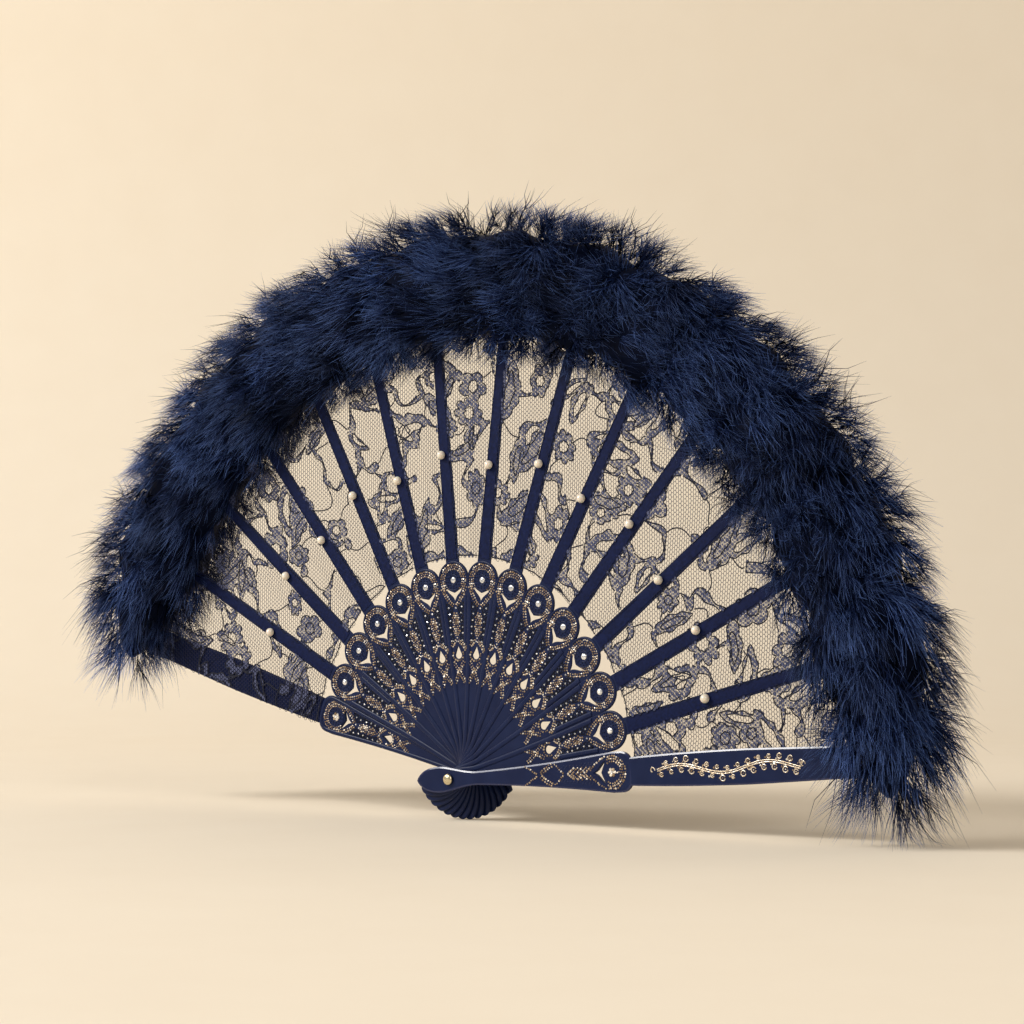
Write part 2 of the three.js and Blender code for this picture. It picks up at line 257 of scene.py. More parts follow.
def new_object(name, data):
    item = bpy.data.objects.new(name, data)
    bpy.context.collection.objects.link(item)
    return item


def result_of(holder):
    graph = bpy.context.evaluated_depsgraph_get()
    mesh = bpy.data.meshes.new_from_object(
        holder.evaluated_get(graph), preserve_all_data_layers=True, depsgraph=graph)
    holder.modifiers.clear()
    bpy.data.objects.remove(holder)
    return mesh


def grown(source, tree, **sizes):
    holder = new_object("holder", source)
    modifier = holder.modifiers.new(tree.name, "NODES")
    modifier.node_group = tree
    for item in tree.interface.items_tree:
        if item.in_out == "INPUT" and item.name in sizes:
            modifier[item.identifier] = sizes[item.name]
    return result_of(holder)


# %% A bar along a line
bar_tree, inputs = new_tree(
    "bar_along_line", Width="Float", Height="Float", Sides="Int", Material="Material")
line = add(bar_tree, "GeometryNodeMeshToCurve", {"Mesh": inputs["Geometry"]})
upright = add(bar_tree, "GeometryNodeSetCurveNormal", {"Curve": line}, mode="Z_UP")
half = add(bar_tree, "ShaderNodeMath", (inputs["Width"], 0.5), operation="MULTIPLY")
oval = add(bar_tree, "GeometryNodeCurvePrimitiveCircle", {
    "Resolution": inputs["Sides"], "Radius": 1.0})
size = add(bar_tree, "ShaderNodeCombineXYZ", (half, inputs["Height"], 1.0))
section = add(bar_tree, "GeometryNodeTransform", {"Geometry": oval, "Scale": size})
swept = add(bar_tree, "GeometryNodeCurveToMesh", {
    "Curve": upright, "Profile Curve": section, "Fill Caps": True})
smooth = add(bar_tree, "GeometryNodeSetShadeSmooth", {"Geometry": swept})
# A random shade along the bar, which only the glitter reads
fleck = add(bar_tree, "FunctionNodeRandomValue", {2: 0.4, 3: 1.0}, data_type="FLOAT")
flecked = add(bar_tree, "GeometryNodeStoreNamedAttribute", {
    "Geometry": smooth, "Name": "shade", "Value": fleck.outputs[1]},
    data_type="FLOAT", domain="POINT")
end_tree(bar_tree, flecked, inputs["Material"])
print("made tree", bar_tree.name)

# %% Studs on points
stud_tree, inputs = new_tree(
    "studs_on_points", Radius="Float", Top="Float", Height="Float", Sides="Int", Tilt="Float",
    Stretch="Float", Seed="Int", Material="Material")
top = add(stud_tree, "ShaderNodeMath", (inputs["Radius"], inputs["Top"]), operation="MULTIPLY")
cone = add(stud_tree, "GeometryNodeMeshCone", {
    "Vertices": inputs["Sides"], "Radius Top": top, "Radius Bottom": inputs["Radius"],
    "Depth": inputs["Height"]})
flat = add(stud_tree, "GeometryNodeSetShadeSmooth", {"Geometry": cone, "Shade Smooth": False})
back = add(stud_tree, "ShaderNodeMath", (inputs["Tilt"], -1.0), operation="MULTIPLY")
low = add(stud_tree, "ShaderNodeCombineXYZ", (back, back))
high = add(stud_tree, "ShaderNodeCombineXYZ", (inputs["Tilt"], inputs["Tilt"]))
tilt = add(stud_tree, "FunctionNodeRandomValue", {0: low, 1: high, 8: inputs["Seed"]},
           data_type="FLOAT_VECTOR")
big = add(stud_tree, "GeometryNodeInputNamedAttribute", {"Name": "size"}, data_type="FLOAT")
tall = add(stud_tree, "ShaderNodeCombineXYZ", (1.0, inputs["Stretch"], 1.0))
scale = add(stud_tree, "ShaderNodeVectorMath", {0: tall, "Scale": big}, operation="SCALE")
planted = add(stud_tree, "GeometryNodeInstanceOnPoints", {
    "Points": inputs["Geometry"], "Instance": flat, "Rotation": tilt, "Scale": scale})
pick = add(stud_tree, "FunctionNodeRandomValue", {8: inputs["Seed"]}, data_type="FLOAT")
shaded = add(stud_tree, "GeometryNodeStoreNamedAttribute", {
    "Geometry": planted, "Name": "shade", "Value": pick.outputs[1]},
    data_type="FLOAT", domain="INSTANCE")
end_tree(stud_tree, shaded, inputs["Material"])
print("made tree", stud_tree.name)


# %% Lines and points as meshes, for the trees to read
def new_mesh(name, points, edges=(), faces=(), material=None):
    mesh = bpy.data.meshes.new(name)
    mesh.from_pydata(points, list(edges), list(faces))
    if material:
        mesh.materials.append(material)
    return mesh


def line_mesh(lines, height=0.0):
    points, edges = [], []
    for line in lines:
        start = len(points)
        points += [tuple(p) if len(p) == 3 else (p[0], p[1], height) for p in line]
        edges += [(start + k, start + k + 1) for k in range(len(line) - 1)]
    return new_mesh("lines", points, edges)


def point_mesh(points, sizes):
    mesh = new_mesh("points", [tuple(p) for p in points])
    each = np.array(np.broadcast_to(sizes, len(points)), "f")
    mesh.attributes.new("size", "FLOAT", "POINT").data.foreach_set("value", each)
    return mesh


def bar(lines, width, height, at, material, sides=10):
    return grown(line_mesh(lines, at), bar_tree, Width=width, Height=height, Sides=sides,
                 Material=material)


def studs(points, sizes, at, material, radius, height, sides=6, top=0.5, tilt=0.25, stretch=1.0,
          seed=1):
    placed = [(p[0], p[1], at) for p in points]
    return grown(point_mesh(placed, sizes), stud_tree, Radius=radius, Top=top, Height=height,
                 Sides=sides, Tilt=tilt, Stretch=stretch, Seed=seed, Material=material)


def joined(name, meshes):
    pieces = [new_object(name, mesh) for mesh in meshes]
    with bpy.context.temp_override(active_object=pieces[0], object=pieces[0],
                                   selected_objects=pieces, selected_editable_objects=pieces):
        bpy.ops.object.join()
    mesh = pieces[0].data
    bpy.data.objects.remove(pieces[0])
    return mesh


print("one bar has", len(bar([[(0, 0), (5, 0)]], 1, 0.4, 0, navy_abs).polygons), "faces")

# %% [markdown]
# ## Plates with rounded edges
# A stick is a flat plate with pierced holes. A Bevel modifier struggles where a hole ends in a
# sharp tip, so the rounding is drawn by hand: each outline is moved inwards in a few steps while it
# climbs from the back to the front, and the two flat faces are filled at the end. Outer outlines
# run anticlockwise and holes clockwise, so "to the left" always means into the plastic. The front
# guard has a flat polished bevel in place of the rounding, which shows the lamp as one bright line.

# %% Outlines
TAIL, HEAD_AT, HEAD_HALF, RIM = 17.5, 84.0, 8.2, 205.0
# Half the width of a rib at its root, its middle and its tip
RIB_ROOT, RIB_MIDDLE, RIB_TIP = 3.54, 3.1, 2.7


def bend(*corners, steps=8):
    corners = np.array(corners, float)
    row = []
    for u in np.linspace(0, 1, steps, endpoint=False):
        level = corners
        while len(level) > 1:
            level = level[:-1] * (1 - u) + level[1:] * u
        row.append(level[0])
    return row


def arc(centre, radius, start, end, steps=8):
    turns = np.linspace(math.radians(start), math.radians(end), steps)
    return [np.array((centre[0] + radius * math.cos(a), centre[1] + radius * math.sin(a)))
            for a in turns]


def mirrored(half):
    half = np.array(half)
    inner = half[(half[:, 1] < -1e-6)]
    ends = [half[0]], [half[-1]]
    return np.vstack([ends[0], inner, ends[1], inner[::-1] * (1, -1)])


gorge_side = (bend((-TAIL, 0), (-TAIL, -3.2), (-12, -5.6), (-5, -5.4), steps=10)
              + bend((-5, -5.4), (0, -5.4), (7.25, -2.8), (14.5, -2.8), steps=10)
              + bend((14.5, -2.8), (49.25, -4.15), (HEAD_AT, -HEAD_HALF), steps=18))
where_rib_leaves = math.degrees(math.asin(RIB_ROOT / HEAD_HALF))
stick_outline = mirrored(gorge_side + arc((HEAD_AT, 0), HEAD_HALF, -90, -where_rib_leaves, 12)
                         + [(RIM - RIB_TIP - 60, -RIB_MIDDLE)]
                         + arc((RIM - RIB_TIP, 0), RIB_TIP, -90, 0, 7))
guard_tail = bend((-TAIL, 0), (-15.8, -3.4), (-11.5, -5.5), (-5, -5.4), steps=10)
guard_outline = mirrored(guard_tail + gorge_side[10:] + [(HEAD_AT, -HEAD_HALF)]
                         + arc((88.5, -3.2), 5, -90, 0, 9) + [(93.5, 0)])
blade_outline = mirrored([(90, 0), (90, -5.5)] + bend((92, -5.65), (120, -7), (150, -7), steps=12)
                         + [(150, -7), (176, -6.5)] + arc((RIM - 4, -2), 4, -90, 0, 7) + [(RIM, 0)])
bird = (bend((75.0, 0), (77.9, 0.9), (78.0, 3.3), (80.7, 4.5))
        + bend((80.7, 4.5), (79.2, 1.9), (78.5, 0))
        + bend((78.5, 0), (79.2, -1.9), (80.7, -4.5))
        + bend((80.7, -4.5), (78.0, -3.3), (77.9, -0.9), (75.0, 0)))
tear = [np.array((56.0, 0))] + arc((52.2, 0), 1.7, 90, 270, 12)
rivet_hole = arc((0, 0), 1.8, 0, -345, 24)


# A lip on the edge that lies under the next stick closes the narrow gap between the two
def lipped(outline, start=15, end=83, deep=1.4):
    x, y = outline.T
    hidden = (y < -1) & (x > start) & (x < end)
    lip = deep * np.sin(np.pi * np.clip((x - start) / (end - start), 0, 1)) ** 0.7
    return np.stack([x, y - lip * hidden], 1)


print("outline points:", len(stick_outline), len(guard_outline), len(blade_outline))


# %% A plate from its outlines
def left_of(ahead):
    ahead = ahead / np.linalg.norm(ahead, axis=1)[:, None]
    return np.stack([-ahead[:, 1], ahead[:, 0]], 1)


def inset(loop, distance):
    left = left_of(np.roll(loop, -1, 0) - loop)
    middle = left + np.roll(left, 1, 0)
    middle /= np.maximum(np.linalg.norm(middle, axis=1), 1e-6)[:, None]
    reach = 1 / np.maximum((middle * left).sum(1), 0.5)
    return loop + middle * (reach * distance)[:, None]


def clockwise(loop):
    x, y = loop[:, 0], loop[:, 1]
    return (x * np.roll(y, -1) - np.roll(x, -1) * y).sum() < 0


def plate(outer, holes, back, front, edge, material, bevel=None, steps=3):
    loops = [np.array(outer, float)] + [np.array(hole, float) for hole in holes]
    loops = [loop[::-1] if clockwise(loop) != (k > 0) else loop for k, loop in enumerate(loops)]
    climb = [(edge * (1 - math.sin(a)), edge * (1 - math.cos(a)))
             for a in np.linspace(0, math.pi / 2, steps + 1)]
    rings = [(move, back + rise) for move, rise in climb]
    if bevel:
        rings += [(0, front - bevel[1]), (bevel[0], front)]
    else:
        rings += [(move, front - rise) for move, rise in reversed(climb)]
    count = sum(len(loop) for loop in loops)
    points, faces = [], []
    for move, height in rings:
        for k, loop in enumerate(loops):
            points += [(x, y, height) for x, y in inset(loop, min(move, 0.3) if k else move)]
    for ring in range(len(rings) - 1):
        start = ring * count
        for loop in loops:
            n = len(loop)
            for j in range(n):
                one, two = start + j, start + (j + 1) % n
                faces.append((one, two, two + count, one + count))
            start += n
    polished = range((len(rings) - 2) * count, (len(rings) - 2) * count + len(loops[0]))
    ends = np.cumsum([0] + [len(loop) for loop in loops])
    for start in (0, (len(rings) - 1) * count):
        flat = [Vector((x, y, 0)) for x, y, _ in points[start:start + count]]
        for a, b, c in tessellate_polygon([flat[p:q] for p, q in zip(ends, ends[1:])]):
            upward = (flat[b] - flat[a]).cross(flat[c] - flat[a]).z > 0
            if upward != (start > 0):
                a, b = b, a
            faces.append((start + a, start + b, start + c))
    mesh = new_mesh("plate", points, faces=faces, material=material)
    mesh.shade_smooth()
    if bevel:
        # The bevel's finish is glossier and painted a little lighter: a real reflection plus a
        # painted highlight
        mesh.materials.append(polished_highlight_abs)
        for face in polished:
            mesh.polygons[face].material_index = 1
        mesh.set_sharp_from_angle(angle=math.radians(20))
    return mesh


PLATE_BACK, PLATE_FRONT = -0.55, 0.15
test = plate(stick_outline, [rivet_hole, bird, tear], PLATE_BACK, PLATE_FRONT, 0.3, navy_abs)
print("inner stick plate:", len(test.polygons), "faces")

# %% [markdown]
# ## Ornament of the gorge
# The gorge is the stiff lower half of a stick. Its ornament is drawn once as lines and areas on the
# board: crossed twigs, a ring round the tear-shaped hole, a roof over it, a lozenge of glitter
# between two quilted fields, a bracket under the bird and a broad ring round the stone. Rows of
# dots are then set along the lines at an even spacing, as the dispensing needle does it on the real
# sticks. The front guard has a figure of its own: a cross, a chevron, an ear of wheat and a
# crescent on the head.

# %% Dots along lines and over areas
scatter = np.random.default_rng(11)


def row(line, spacing, shift=0.0):
    line = np.array(line, float)
    step = np.linalg.norm(np.diff(line, axis=0), axis=1)
    along = np.concatenate([[0], np.cumsum(step)])
    stops = np.linspace(0, along[-1], max(2, round(along[-1] / spacing) + 1))
    spots = np.stack([np.interp(stops, along, line[:, k]) for k in (0, 1)], 1)
    if shift:
        spots = spots + left_of(np.gradient(spots, axis=0)) * shift
    return spots


def both_sides(spots):
    return np.vstack([spots, spots * (1, -1)])


def half_width(x):
    side = np.array(gorge_side[20:] + [(HEAD_AT, -HEAD_HALF)])
    return np.interp(x, side[:, 0], -side[:, 1])


twig = bend((40.5, -2.5), (44, -0.9), (46.5, 0.9), (49.8, 3.3), steps=12)
roof = bend((54.2, 4.3), (57.2, 2.6), (58.4, 0.4), steps=10)
bracket = bend((80.6, 6.3), (77.6, 4.6), (74.6, 3.2), (73.0, 0.5), steps=14)
gold_dots = [both_sides(row(twig, 1.15, shift)) for shift in (-0.55, 0.55)]
gold_dots += [both_sides(row(roof, 1.1, shift)) for shift in (-0.5, 0.5)]
gold_dots += [both_sides(row(bracket, 1.15, shift)) for shift in (-0.55, 0.55)]
gold_dots += [row(arc((52.4, 0), 2.8, 75, 285, 20), 1.1)]
for k, reach in enumerate((4.7, 5.7, 6.7)):
    gold_dots.append(row(arc((HEAD_AT, 0), reach, -140 + 6 * k, 140 - 6 * k, 40), 1.05))
lozenge = []
for k, x in enumerate(np.arange(59.4, 70.8, 0.95)):
    wide = 2.1 * math.sin(math.pi * (x - 57.8) / 14.4) ** 0.8
    across = np.arange(-4, 5) * 1.1 + 0.55 * (k % 2)
    lozenge += [(x, y) for y in across if abs(y) < wide]
gold_dots = np.vstack(gold_dots + [np.array(lozenge)])
gold_dots = gold_dots + scatter.normal(0, 0.1, gold_dots.shape)
gold_sizes = scatter.uniform(0.75, 1.2, len(gold_dots))
silver_dots = np.array([(x, side * min(half_width(x) - 2.75, 3.3)) for x in np.arange(58.4, 73, 2.8)
                        for side in (-1, 1)] + [(57.9, 0.3), (72.0, -0.2)])
silver_dots += scatter.normal(0, 0.18, silver_dots.shape)


def field_limits(x):
    room = half_width(x) - 2.5
    clear = 2.1 * np.sin(np.pi * np.clip((x - 56.6) / 16.8, 0, 1)) ** 0.8 + 0.5
    roofed = np.interp(x, [56, 58.6, 71.8, 74.5], [5, 1.0, 0.6, 3.4])
    return np.maximum(clear, roofed), room


quilt = np.array([(56.6 + 0.85 * a, 0.8 * b) for a in range(22) for b in range(-9, 10)
                  if (a + b) % 2 == 0])
low, room = field_limits(quilt[:, 0])
quilt = quilt[(abs(quilt[:, 1]) < room) & (abs(quilt[:, 1]) > low)]
ends = np.arange(57.6, 75, 0.6)
low, room = field_limits(ends)
open_part = room > low + 0.4
field = np.vstack([np.stack([ends, low - 0.3], 1)[open_part],
                   np.stack([ends, room + 0.4], 1)[open_part][::-1]])

guard_dots = [both_sides(row(bend((40.2, 3.7), (43.6, 2.1), (46.8, 0.2), steps=9), 1.15))]
guard_dots += [both_sides(row(bend((53.8, 3.9), (49.6, 2.0), (48.2, 0.3), steps=9), 1.15, shift))
               for shift in (-0.55, 0.55)]
guard_dots += [both_sides(row(bend((55.6, 4.1), (58.6, 1.7), (59.8, 0.2), steps=9), 1.1))]
guard_dots += [both_sides(row(bracket, 1.1))]
guard_dots += [row([(62.2 + 2.1 * k, side * 0.2), (64.9 + 2.1 * k, side * 2.3)], 0.85)
               for k in range(5) for side in (-1, 1)]
for reach, span in ((4.4, 118), (5.5, 112), (6.6, 105)):
    guard_dots.append(row(arc((HEAD_AT, 0), reach, -span, span, 40), 1.1))
guard_dots = np.vstack(guard_dots + [[(85.4, 0.2), (86.5, -0.2), (87.5, 0.1)]])
guard_dots = guard_dots + scatter.normal(0, 0.1, guard_dots.shape)
guard_sizes = scatter.uniform(0.8, 1.25, len(guard_dots))
print("gold dots:", len(gold_dots), "on a guard:", len(guard_dots))
print("silver dots:", len(silver_dots), "quilt studs:", len(quilt))


# %% A cut stone
def stone(centre, radius, at, height, material):
    points, faces, n = [], [], 10
    for reach, rise, turn in ((1, 0, 0), (1, 0.25, 0), (0.74, 0.72, 0.5), (0.46, 1, 0)):
        points += [(centre[0] + radius * reach * math.cos(2 * math.pi * (k + turn) / n),
                    centre[1] + radius * reach * math.sin(2 * math.pi * (k + turn) / n),
                    at + height * rise) for k in range(n)]
    faces.append(tuple(range(n - 1, -1, -1)))
    faces += [(k, (k + 1) % n, n + (k + 1) % n, n + k) for k in range(n)]
    for ring, shift in ((1, 0), (2, 1)):
        low, high = ring * n, ring * n + n
        for k in range(n):
            after = (k + 1) % n
            if shift:
                faces += [(low + k, high + after, high + k), (low + k, low + after, high + after)]
            else:
                faces += [(low + k, low + after, high + k), (low + after, high + after, high + k)]
    faces.append(tuple(range(3 * n, 4 * n)))
    mesh = new_mesh("stone", points, faces=faces, material=material)
    mesh.shade_flat()
    return mesh


print("a stone has", len(stone((0, 0), 1, 0, 1, foiled_glass).polygons), "facets")

# %% [markdown]
# ## The inner sticks
# All thirteen inner sticks come from one mould, so one is made and copied. A smooth bar runs up the
# edge that lies over the next stick and goes round the head. At the tail it changes sides: below
# the rivet the other edge is the visible one, and the row of tails with their bars makes the ribbed
# shell at the foot of the fan. The rib has a raised grained band. Weighted normals keep the flat
# faces flat and the edges soft.

# %% One inner stick
RELIEF, GOLD_DOT, QUILT_STUD = 0.4, 0.44, 0.62
edge_line = [(x, y) for x, y in gorge_side[14:]]
edge_bars = [[(x, -y - 1.15) for x, y in edge_line[:-1]],
             [(x, y + 1.15) for x, y in edge_line[-7:-1]]]
head_bar = arc((HEAD_AT, 0), 7.6, 100, -100, 24)
rib_band = mirrored([(92.9, 0), (92.9, -2.75), (142, -2.35), (200.5, -1.95), (203, 0)])
tail_bar = [(-15.8, -0.6)] + [(x + 0.6, y + 1.5) for x, y in gorge_side[3:16]]


def soft_normals(mesh):
    holder = new_object("holder", mesh)
    holder.modifiers.new("even", "WEIGHTED_NORMAL").keep_sharp = True
    return result_of(holder)


def gorge_ornament(at, relief, seed):
    rings = [arc((HEAD_AT, 0), 4.35, 0, 360, 36), arc((HEAD_AT, 0), 2.2, 0, 360, 20)]
    disc = arc((HEAD_AT, 0), 4.2, 0, 345, 24)
    # The quilted fields are thin near-black plates under the studs, painted shade in the gaps between
    # them
    areas = (field, dark_shade_abs), (field * (1, -1), dark_shade_abs), (disc, navy_abs)
    fields = [plate(area, [], at - 0.03, at + 0.05, 0.02, finish, steps=1)
              for area, finish in areas]
    grain = [(HEAD_AT + r * math.cos(a), r * math.sin(a)) for r, n in ((2.75, 10), (3.6, 14))
             for a in np.arange(n) * 2 * math.pi / n]
    return fields + [
        bar(rings, 0.5, relief * 0.6, at, navy_abs, 8),
        studs(gold_dots, gold_sizes, at - 0.02, gold_glitter, GOLD_DOT, relief * 0.75, seed=seed),
        studs(silver_dots, 1, at - 0.02, foiled_glass, 0.5, relief * 0.8, seed=seed + 1),
        studs(quilt, 1, at, navy_abs, QUILT_STUD, relief * 0.7, 4, 0.0, 0.0),
        studs(grain, 1, at, dark_shade_abs, 0.36, relief * 0.6, 5, 0.3, 0.2),
    ]


inner_stick = soft_normals(joined("inner_stick", [
    plate(lipped(stick_outline), [rivet_hole, bird, tear], PLATE_BACK, PLATE_FRONT, 0.3, navy_abs),
    plate(rib_band, [], PLATE_FRONT - 0.05, PLATE_FRONT + 0.22, 0.2, grained_abs, steps=2),
    bar(edge_bars, 2.2, RELIEF, PLATE_FRONT, navy_abs, 12),
    bar([head_bar], 1.1, RELIEF, PLATE_FRONT, navy_abs, 10),
    bar([tail_bar], 2.9, RELIEF, PLATE_FRONT, navy_abs, 12),
    stone((HEAD_AT, 0), 1.35, PLATE_FRONT, 0.55, foiled_glass),
] + gorge_ornament(PLATE_FRONT, RELIEF, 5)))
inner_stick.calc_loop_triangles()
print("inner stick:", len(inner_stick.loop_triangles), "triangles")

# %% [markdown]
# ## The guards
# The two outer sticks protect the folded fan, so they are thicker, and a broad blade takes the
# place of the thin rib. The front blade carries a painted vine: a double wavy stem with ring-shaped
# berries on short stalks. Stem and berry are bars along lines, and the seeds are studs, so the same
# two trees draw it all.

# %% A vine for the front blade
def sway(x):
    return 1.9 * math.sin((x - 106) / 66 * 3.2 * math.pi)


def vine(at):
    stem = [(x, sway(x)) for x in np.arange(106, 172.5, 0.8)]
    lines = [row(stem, 0.8, shift) for shift in (-0.4, 0.4)]
    seeds = []
    for k, x in enumerate(np.arange(107, 172, 2.4)):
        side = 1 if k % 2 else -1
        size = scatter.uniform(0.7, 1.15)
        out = side * (0.9 + size + 0.6 * scatter.random())
        berry = (x + 0.9, sway(x) + out)
        lines += [arc(berry, size, 20, 350, 12), [(x, sway(x)), (x + 0.5, sway(x) + out * 0.45)]]
        seeds += [berry, (x - 0.6, sway(x) + side * scatter.uniform(1.2, 2.2))]
    for x, side in ((103.6, 1), (128, 1), (149, -1), (173.4, 1)):
        turn = np.linspace(0, 1.6 * math.pi, 14)
        lines.append([(x + (2 - 0.3 * a) * 0.6 * math.cos(a),
                       side * (2 - 0.3 * a) * 0.8 * math.sin(a)) for a in turn])
    sizes = scatter.uniform(0.7, 1.3, len(seeds))
    return [bar(lines, 0.52, 0.2, at, gold_glitter, 6),
            studs(seeds, sizes, at - 0.02, gold_glitter, 0.42, 0.3, seed=9)]


def flower(at):
    spots = [(HEAD_AT + 1.3 * math.cos(a), 1.3 * math.sin(a)) for a in np.arange(6) * math.pi / 3]
    return [studs(spots, 1, at, gold_glitter, 0.72, 0.5, 8, seed=3),
            stone((HEAD_AT, 0), 0.8, at, 0.6, foiled_glass)]


guard_shell = [(x, -y - 1.1) for x, y in gorge_side[14:]] + arc((87.5, 2.3), 4.9, 90, 0, 8)
guard_shell += arc((87.5, -2.3), 4.9, 0, -90, 8) + [(x, y + 1.1) for x, y in gorge_side[:22:-1]]
FRONT_TOP, BLADE_TOP, BEVEL = 1.25, 1.15, (0.65, 0.29)
front_guard = soft_normals(joined("front_guard", [
    plate(guard_outline, [rivet_hole, bird], PLATE_BACK, FRONT_TOP, 0.5, navy_abs, BEVEL),
    plate(blade_outline, [], PLATE_BACK + 0.01, BLADE_TOP, 0.5, navy_abs, BEVEL),
    studs(guard_dots, guard_sizes, FRONT_TOP - 0.02, gold_glitter, GOLD_DOT, RELIEF * 0.75,
          seed=23),
    studs(quilt, 1, FRONT_TOP, navy_abs, QUILT_STUD, RELIEF * 0.5, 4, 0.0, 0.0),
] + flower(FRONT_TOP) + vine(BLADE_TOP)))
rear_guard = soft_normals(joined("rear_guard", [
    plate(lipped(guard_outline), [rivet_hole, bird, tear], -1.65, PLATE_FRONT, 0.55, navy_abs),
    plate(blade_outline, [], -1.55, 0.14, 0.6, grained_abs),
    bar([guard_shell], 1.8, RELIEF, PLATE_FRONT, navy_abs, 12),
    bar([tail_bar], 2.9, RELIEF, PLATE_FRONT, navy_abs, 12),
] + gorge_ornament(PLATE_FRONT, RELIEF, 31) + flower(PLATE_FRONT)))
print("front guard:", len(front_guard.polygons), "faces, rear guard:", len(rear_guard.polygons))


# %% Put the fifteen sticks in their places
def set_piece(name, mesh, matrix, body, node):
    mesh = mesh.copy()
    mesh.name = name
    mesh.transform(matrix)
    piece = new_object(name, mesh)
    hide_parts(node)
    if body:
        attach(piece, body)
    return piece


for i in range(STICKS):
    drawing = {0: front_guard, LAST: rear_guard}.get(i, inner_stick)
    name = stick_name(i)
    set_piece(name + "_moulding", drawing, board_of(i), name, name)
print("placed", STICKS, "sticks")

# %% [markdown]
# ## Rivet and washer
# One brass rivet holds the sticks. Round parts are turned, so the mesh is turned as well: a profile
# spins about the rivet's axis. The plating is pale gold, with fine scratches from tumbling.

# %% Gold-plated brass
plated_brass, tree, shader = new_finish("gold_plated_brass", Metallic=1.0)
# Scratches about 0.25 mm apart
tint, wear = mottled(tree, 0.25, 4, "#cdbb92", "#eadfbf")[:2]
gloss = add(tree, "ShaderNodeMapRange", {"Value": wear, "To Min": 0.16, "To Max": 0.4})
give(shader, {"Base Color": tint, "Roughness": gloss})
print("made", plated_brass.name)


# %% The rivet and its washer are turned
def tube(name, points, n, material=None):
    rings = len(points) // n
    faces = [(s * n + k, (s + 1) * n + k, (s + 1) * n + (k + 1) % n, s * n + (k + 1) % n)
             for s in range(rings - 1) for k in range(n)]
    faces += [tuple(range(n)), tuple((rings - 1) * n + k for k in reversed(range(n)))]
    mesh = new_mesh(name, points, faces=faces, material=material)
    mesh.shade_smooth()
    return mesh


def turned(name, profile, material, steps=40):
    points = [(r * math.cos(a), -r * math.sin(a), h) for r, h in profile
              for a in np.linspace(0, 2 * math.pi, steps, endpoint=False)]
    mesh = tube(name, points, steps, material)
    mesh.set_sharp_from_angle(angle=math.radians(50))
    return mesh


RIVET_HEAD, RIVET_PIN, RIVET_FRONT, RIVET_BACK = 2.3, 1.5, 1.95, -22.15
dome = [(RIVET_HEAD * math.sin(a), RIVET_FRONT + 0.15 + 1.05 * math.cos(a))
        for a in np.linspace(0.02, 1.57, 10)]
rear_dome = [(RIVET_HEAD * math.sin(a), RIVET_BACK - 0.15 - 1.35 * math.cos(a))
             for a in np.linspace(1.57, 0.02, 10)]
pin = dome + [(RIVET_HEAD, RIVET_FRONT), (RIVET_PIN, RIVET_FRONT), (RIVET_PIN, RIVET_BACK),
              (RIVET_HEAD, RIVET_BACK)] + rear_dome
rivet_pin = turned("rivet_pin", pin, plated_brass)
ring = [(1.55, -21.6), (2.75, -21.6), (2.9, -21.7), (2.9, -22.0), (2.75, -22.1), (1.55, -22.1)]
washer_ring = turned("washer_ring", ring, plated_brass)
set_piece("rivet_pin", rivet_pin, FLAT_BOARD, "front_guard", "rivet")
set_piece("washer_ring", washer_ring, FLAT_BOARD, "front_guard", "rivet_washer")
print("rivet faces:", len(rivet_pin.polygons))

# %% [markdown]
# ## Pearls
# The pearls are half beads of glass or plastic with a lacquer of mica, so a soft light seems to sit
# below the surface. A clear coat over a cream base with faint cloudy bands gives that depth.

# %% Pearl lacquer, and a pearl on each inner rib
pearl_lacquer, tree, shader = new_finish(
    "pearl_lacquer", Roughness=0.32, Coat_Weight=0.8, Coat_Roughness=0.1, Sheen_Weight=0.25,
    Subsurface_Weight=0.1, Subsurface_Scale=0.6 * MM)
# Clouds of about 2 mm
give(shader, {"Base Color": mottled(tree, 2, 2, "#d6c8b2", "#f6efe2")[0]})

PEARL, PEARL_AT = 1.85, (137.6, 132.6)
profile = [(PEARL * math.sin(a), PEARL * math.cos(a)) for a in np.linspace(0.02, 1.85, 16)]
bead = turned("pearl_bead", profile, pearl_lacquer, 28)
for i in range(1, LAST):
    spot = Matrix.Translation((PEARL_AT[i % 2], 1.0, 1.55))
    set_piece(f"pearl_bead_{i:02d}", bead, board_of(i) @ spot, stick_name(i), f"pearl_{i:02d}")
print("pearls:", LAST - 1)

# %% [markdown]
# ## Lace thread
# The leaf is machine lace: a hexagonal net, denser satin patches that make the flowers, and a
# heavier cord, the gimp, that outlines them. It is dyed polyester. The net is dull, the satin
# patches shine a little along their threads, and the gimp is the darkest because it is the
# thickest.

# %% Three lace finishes
HALF_WAVE = 0.314


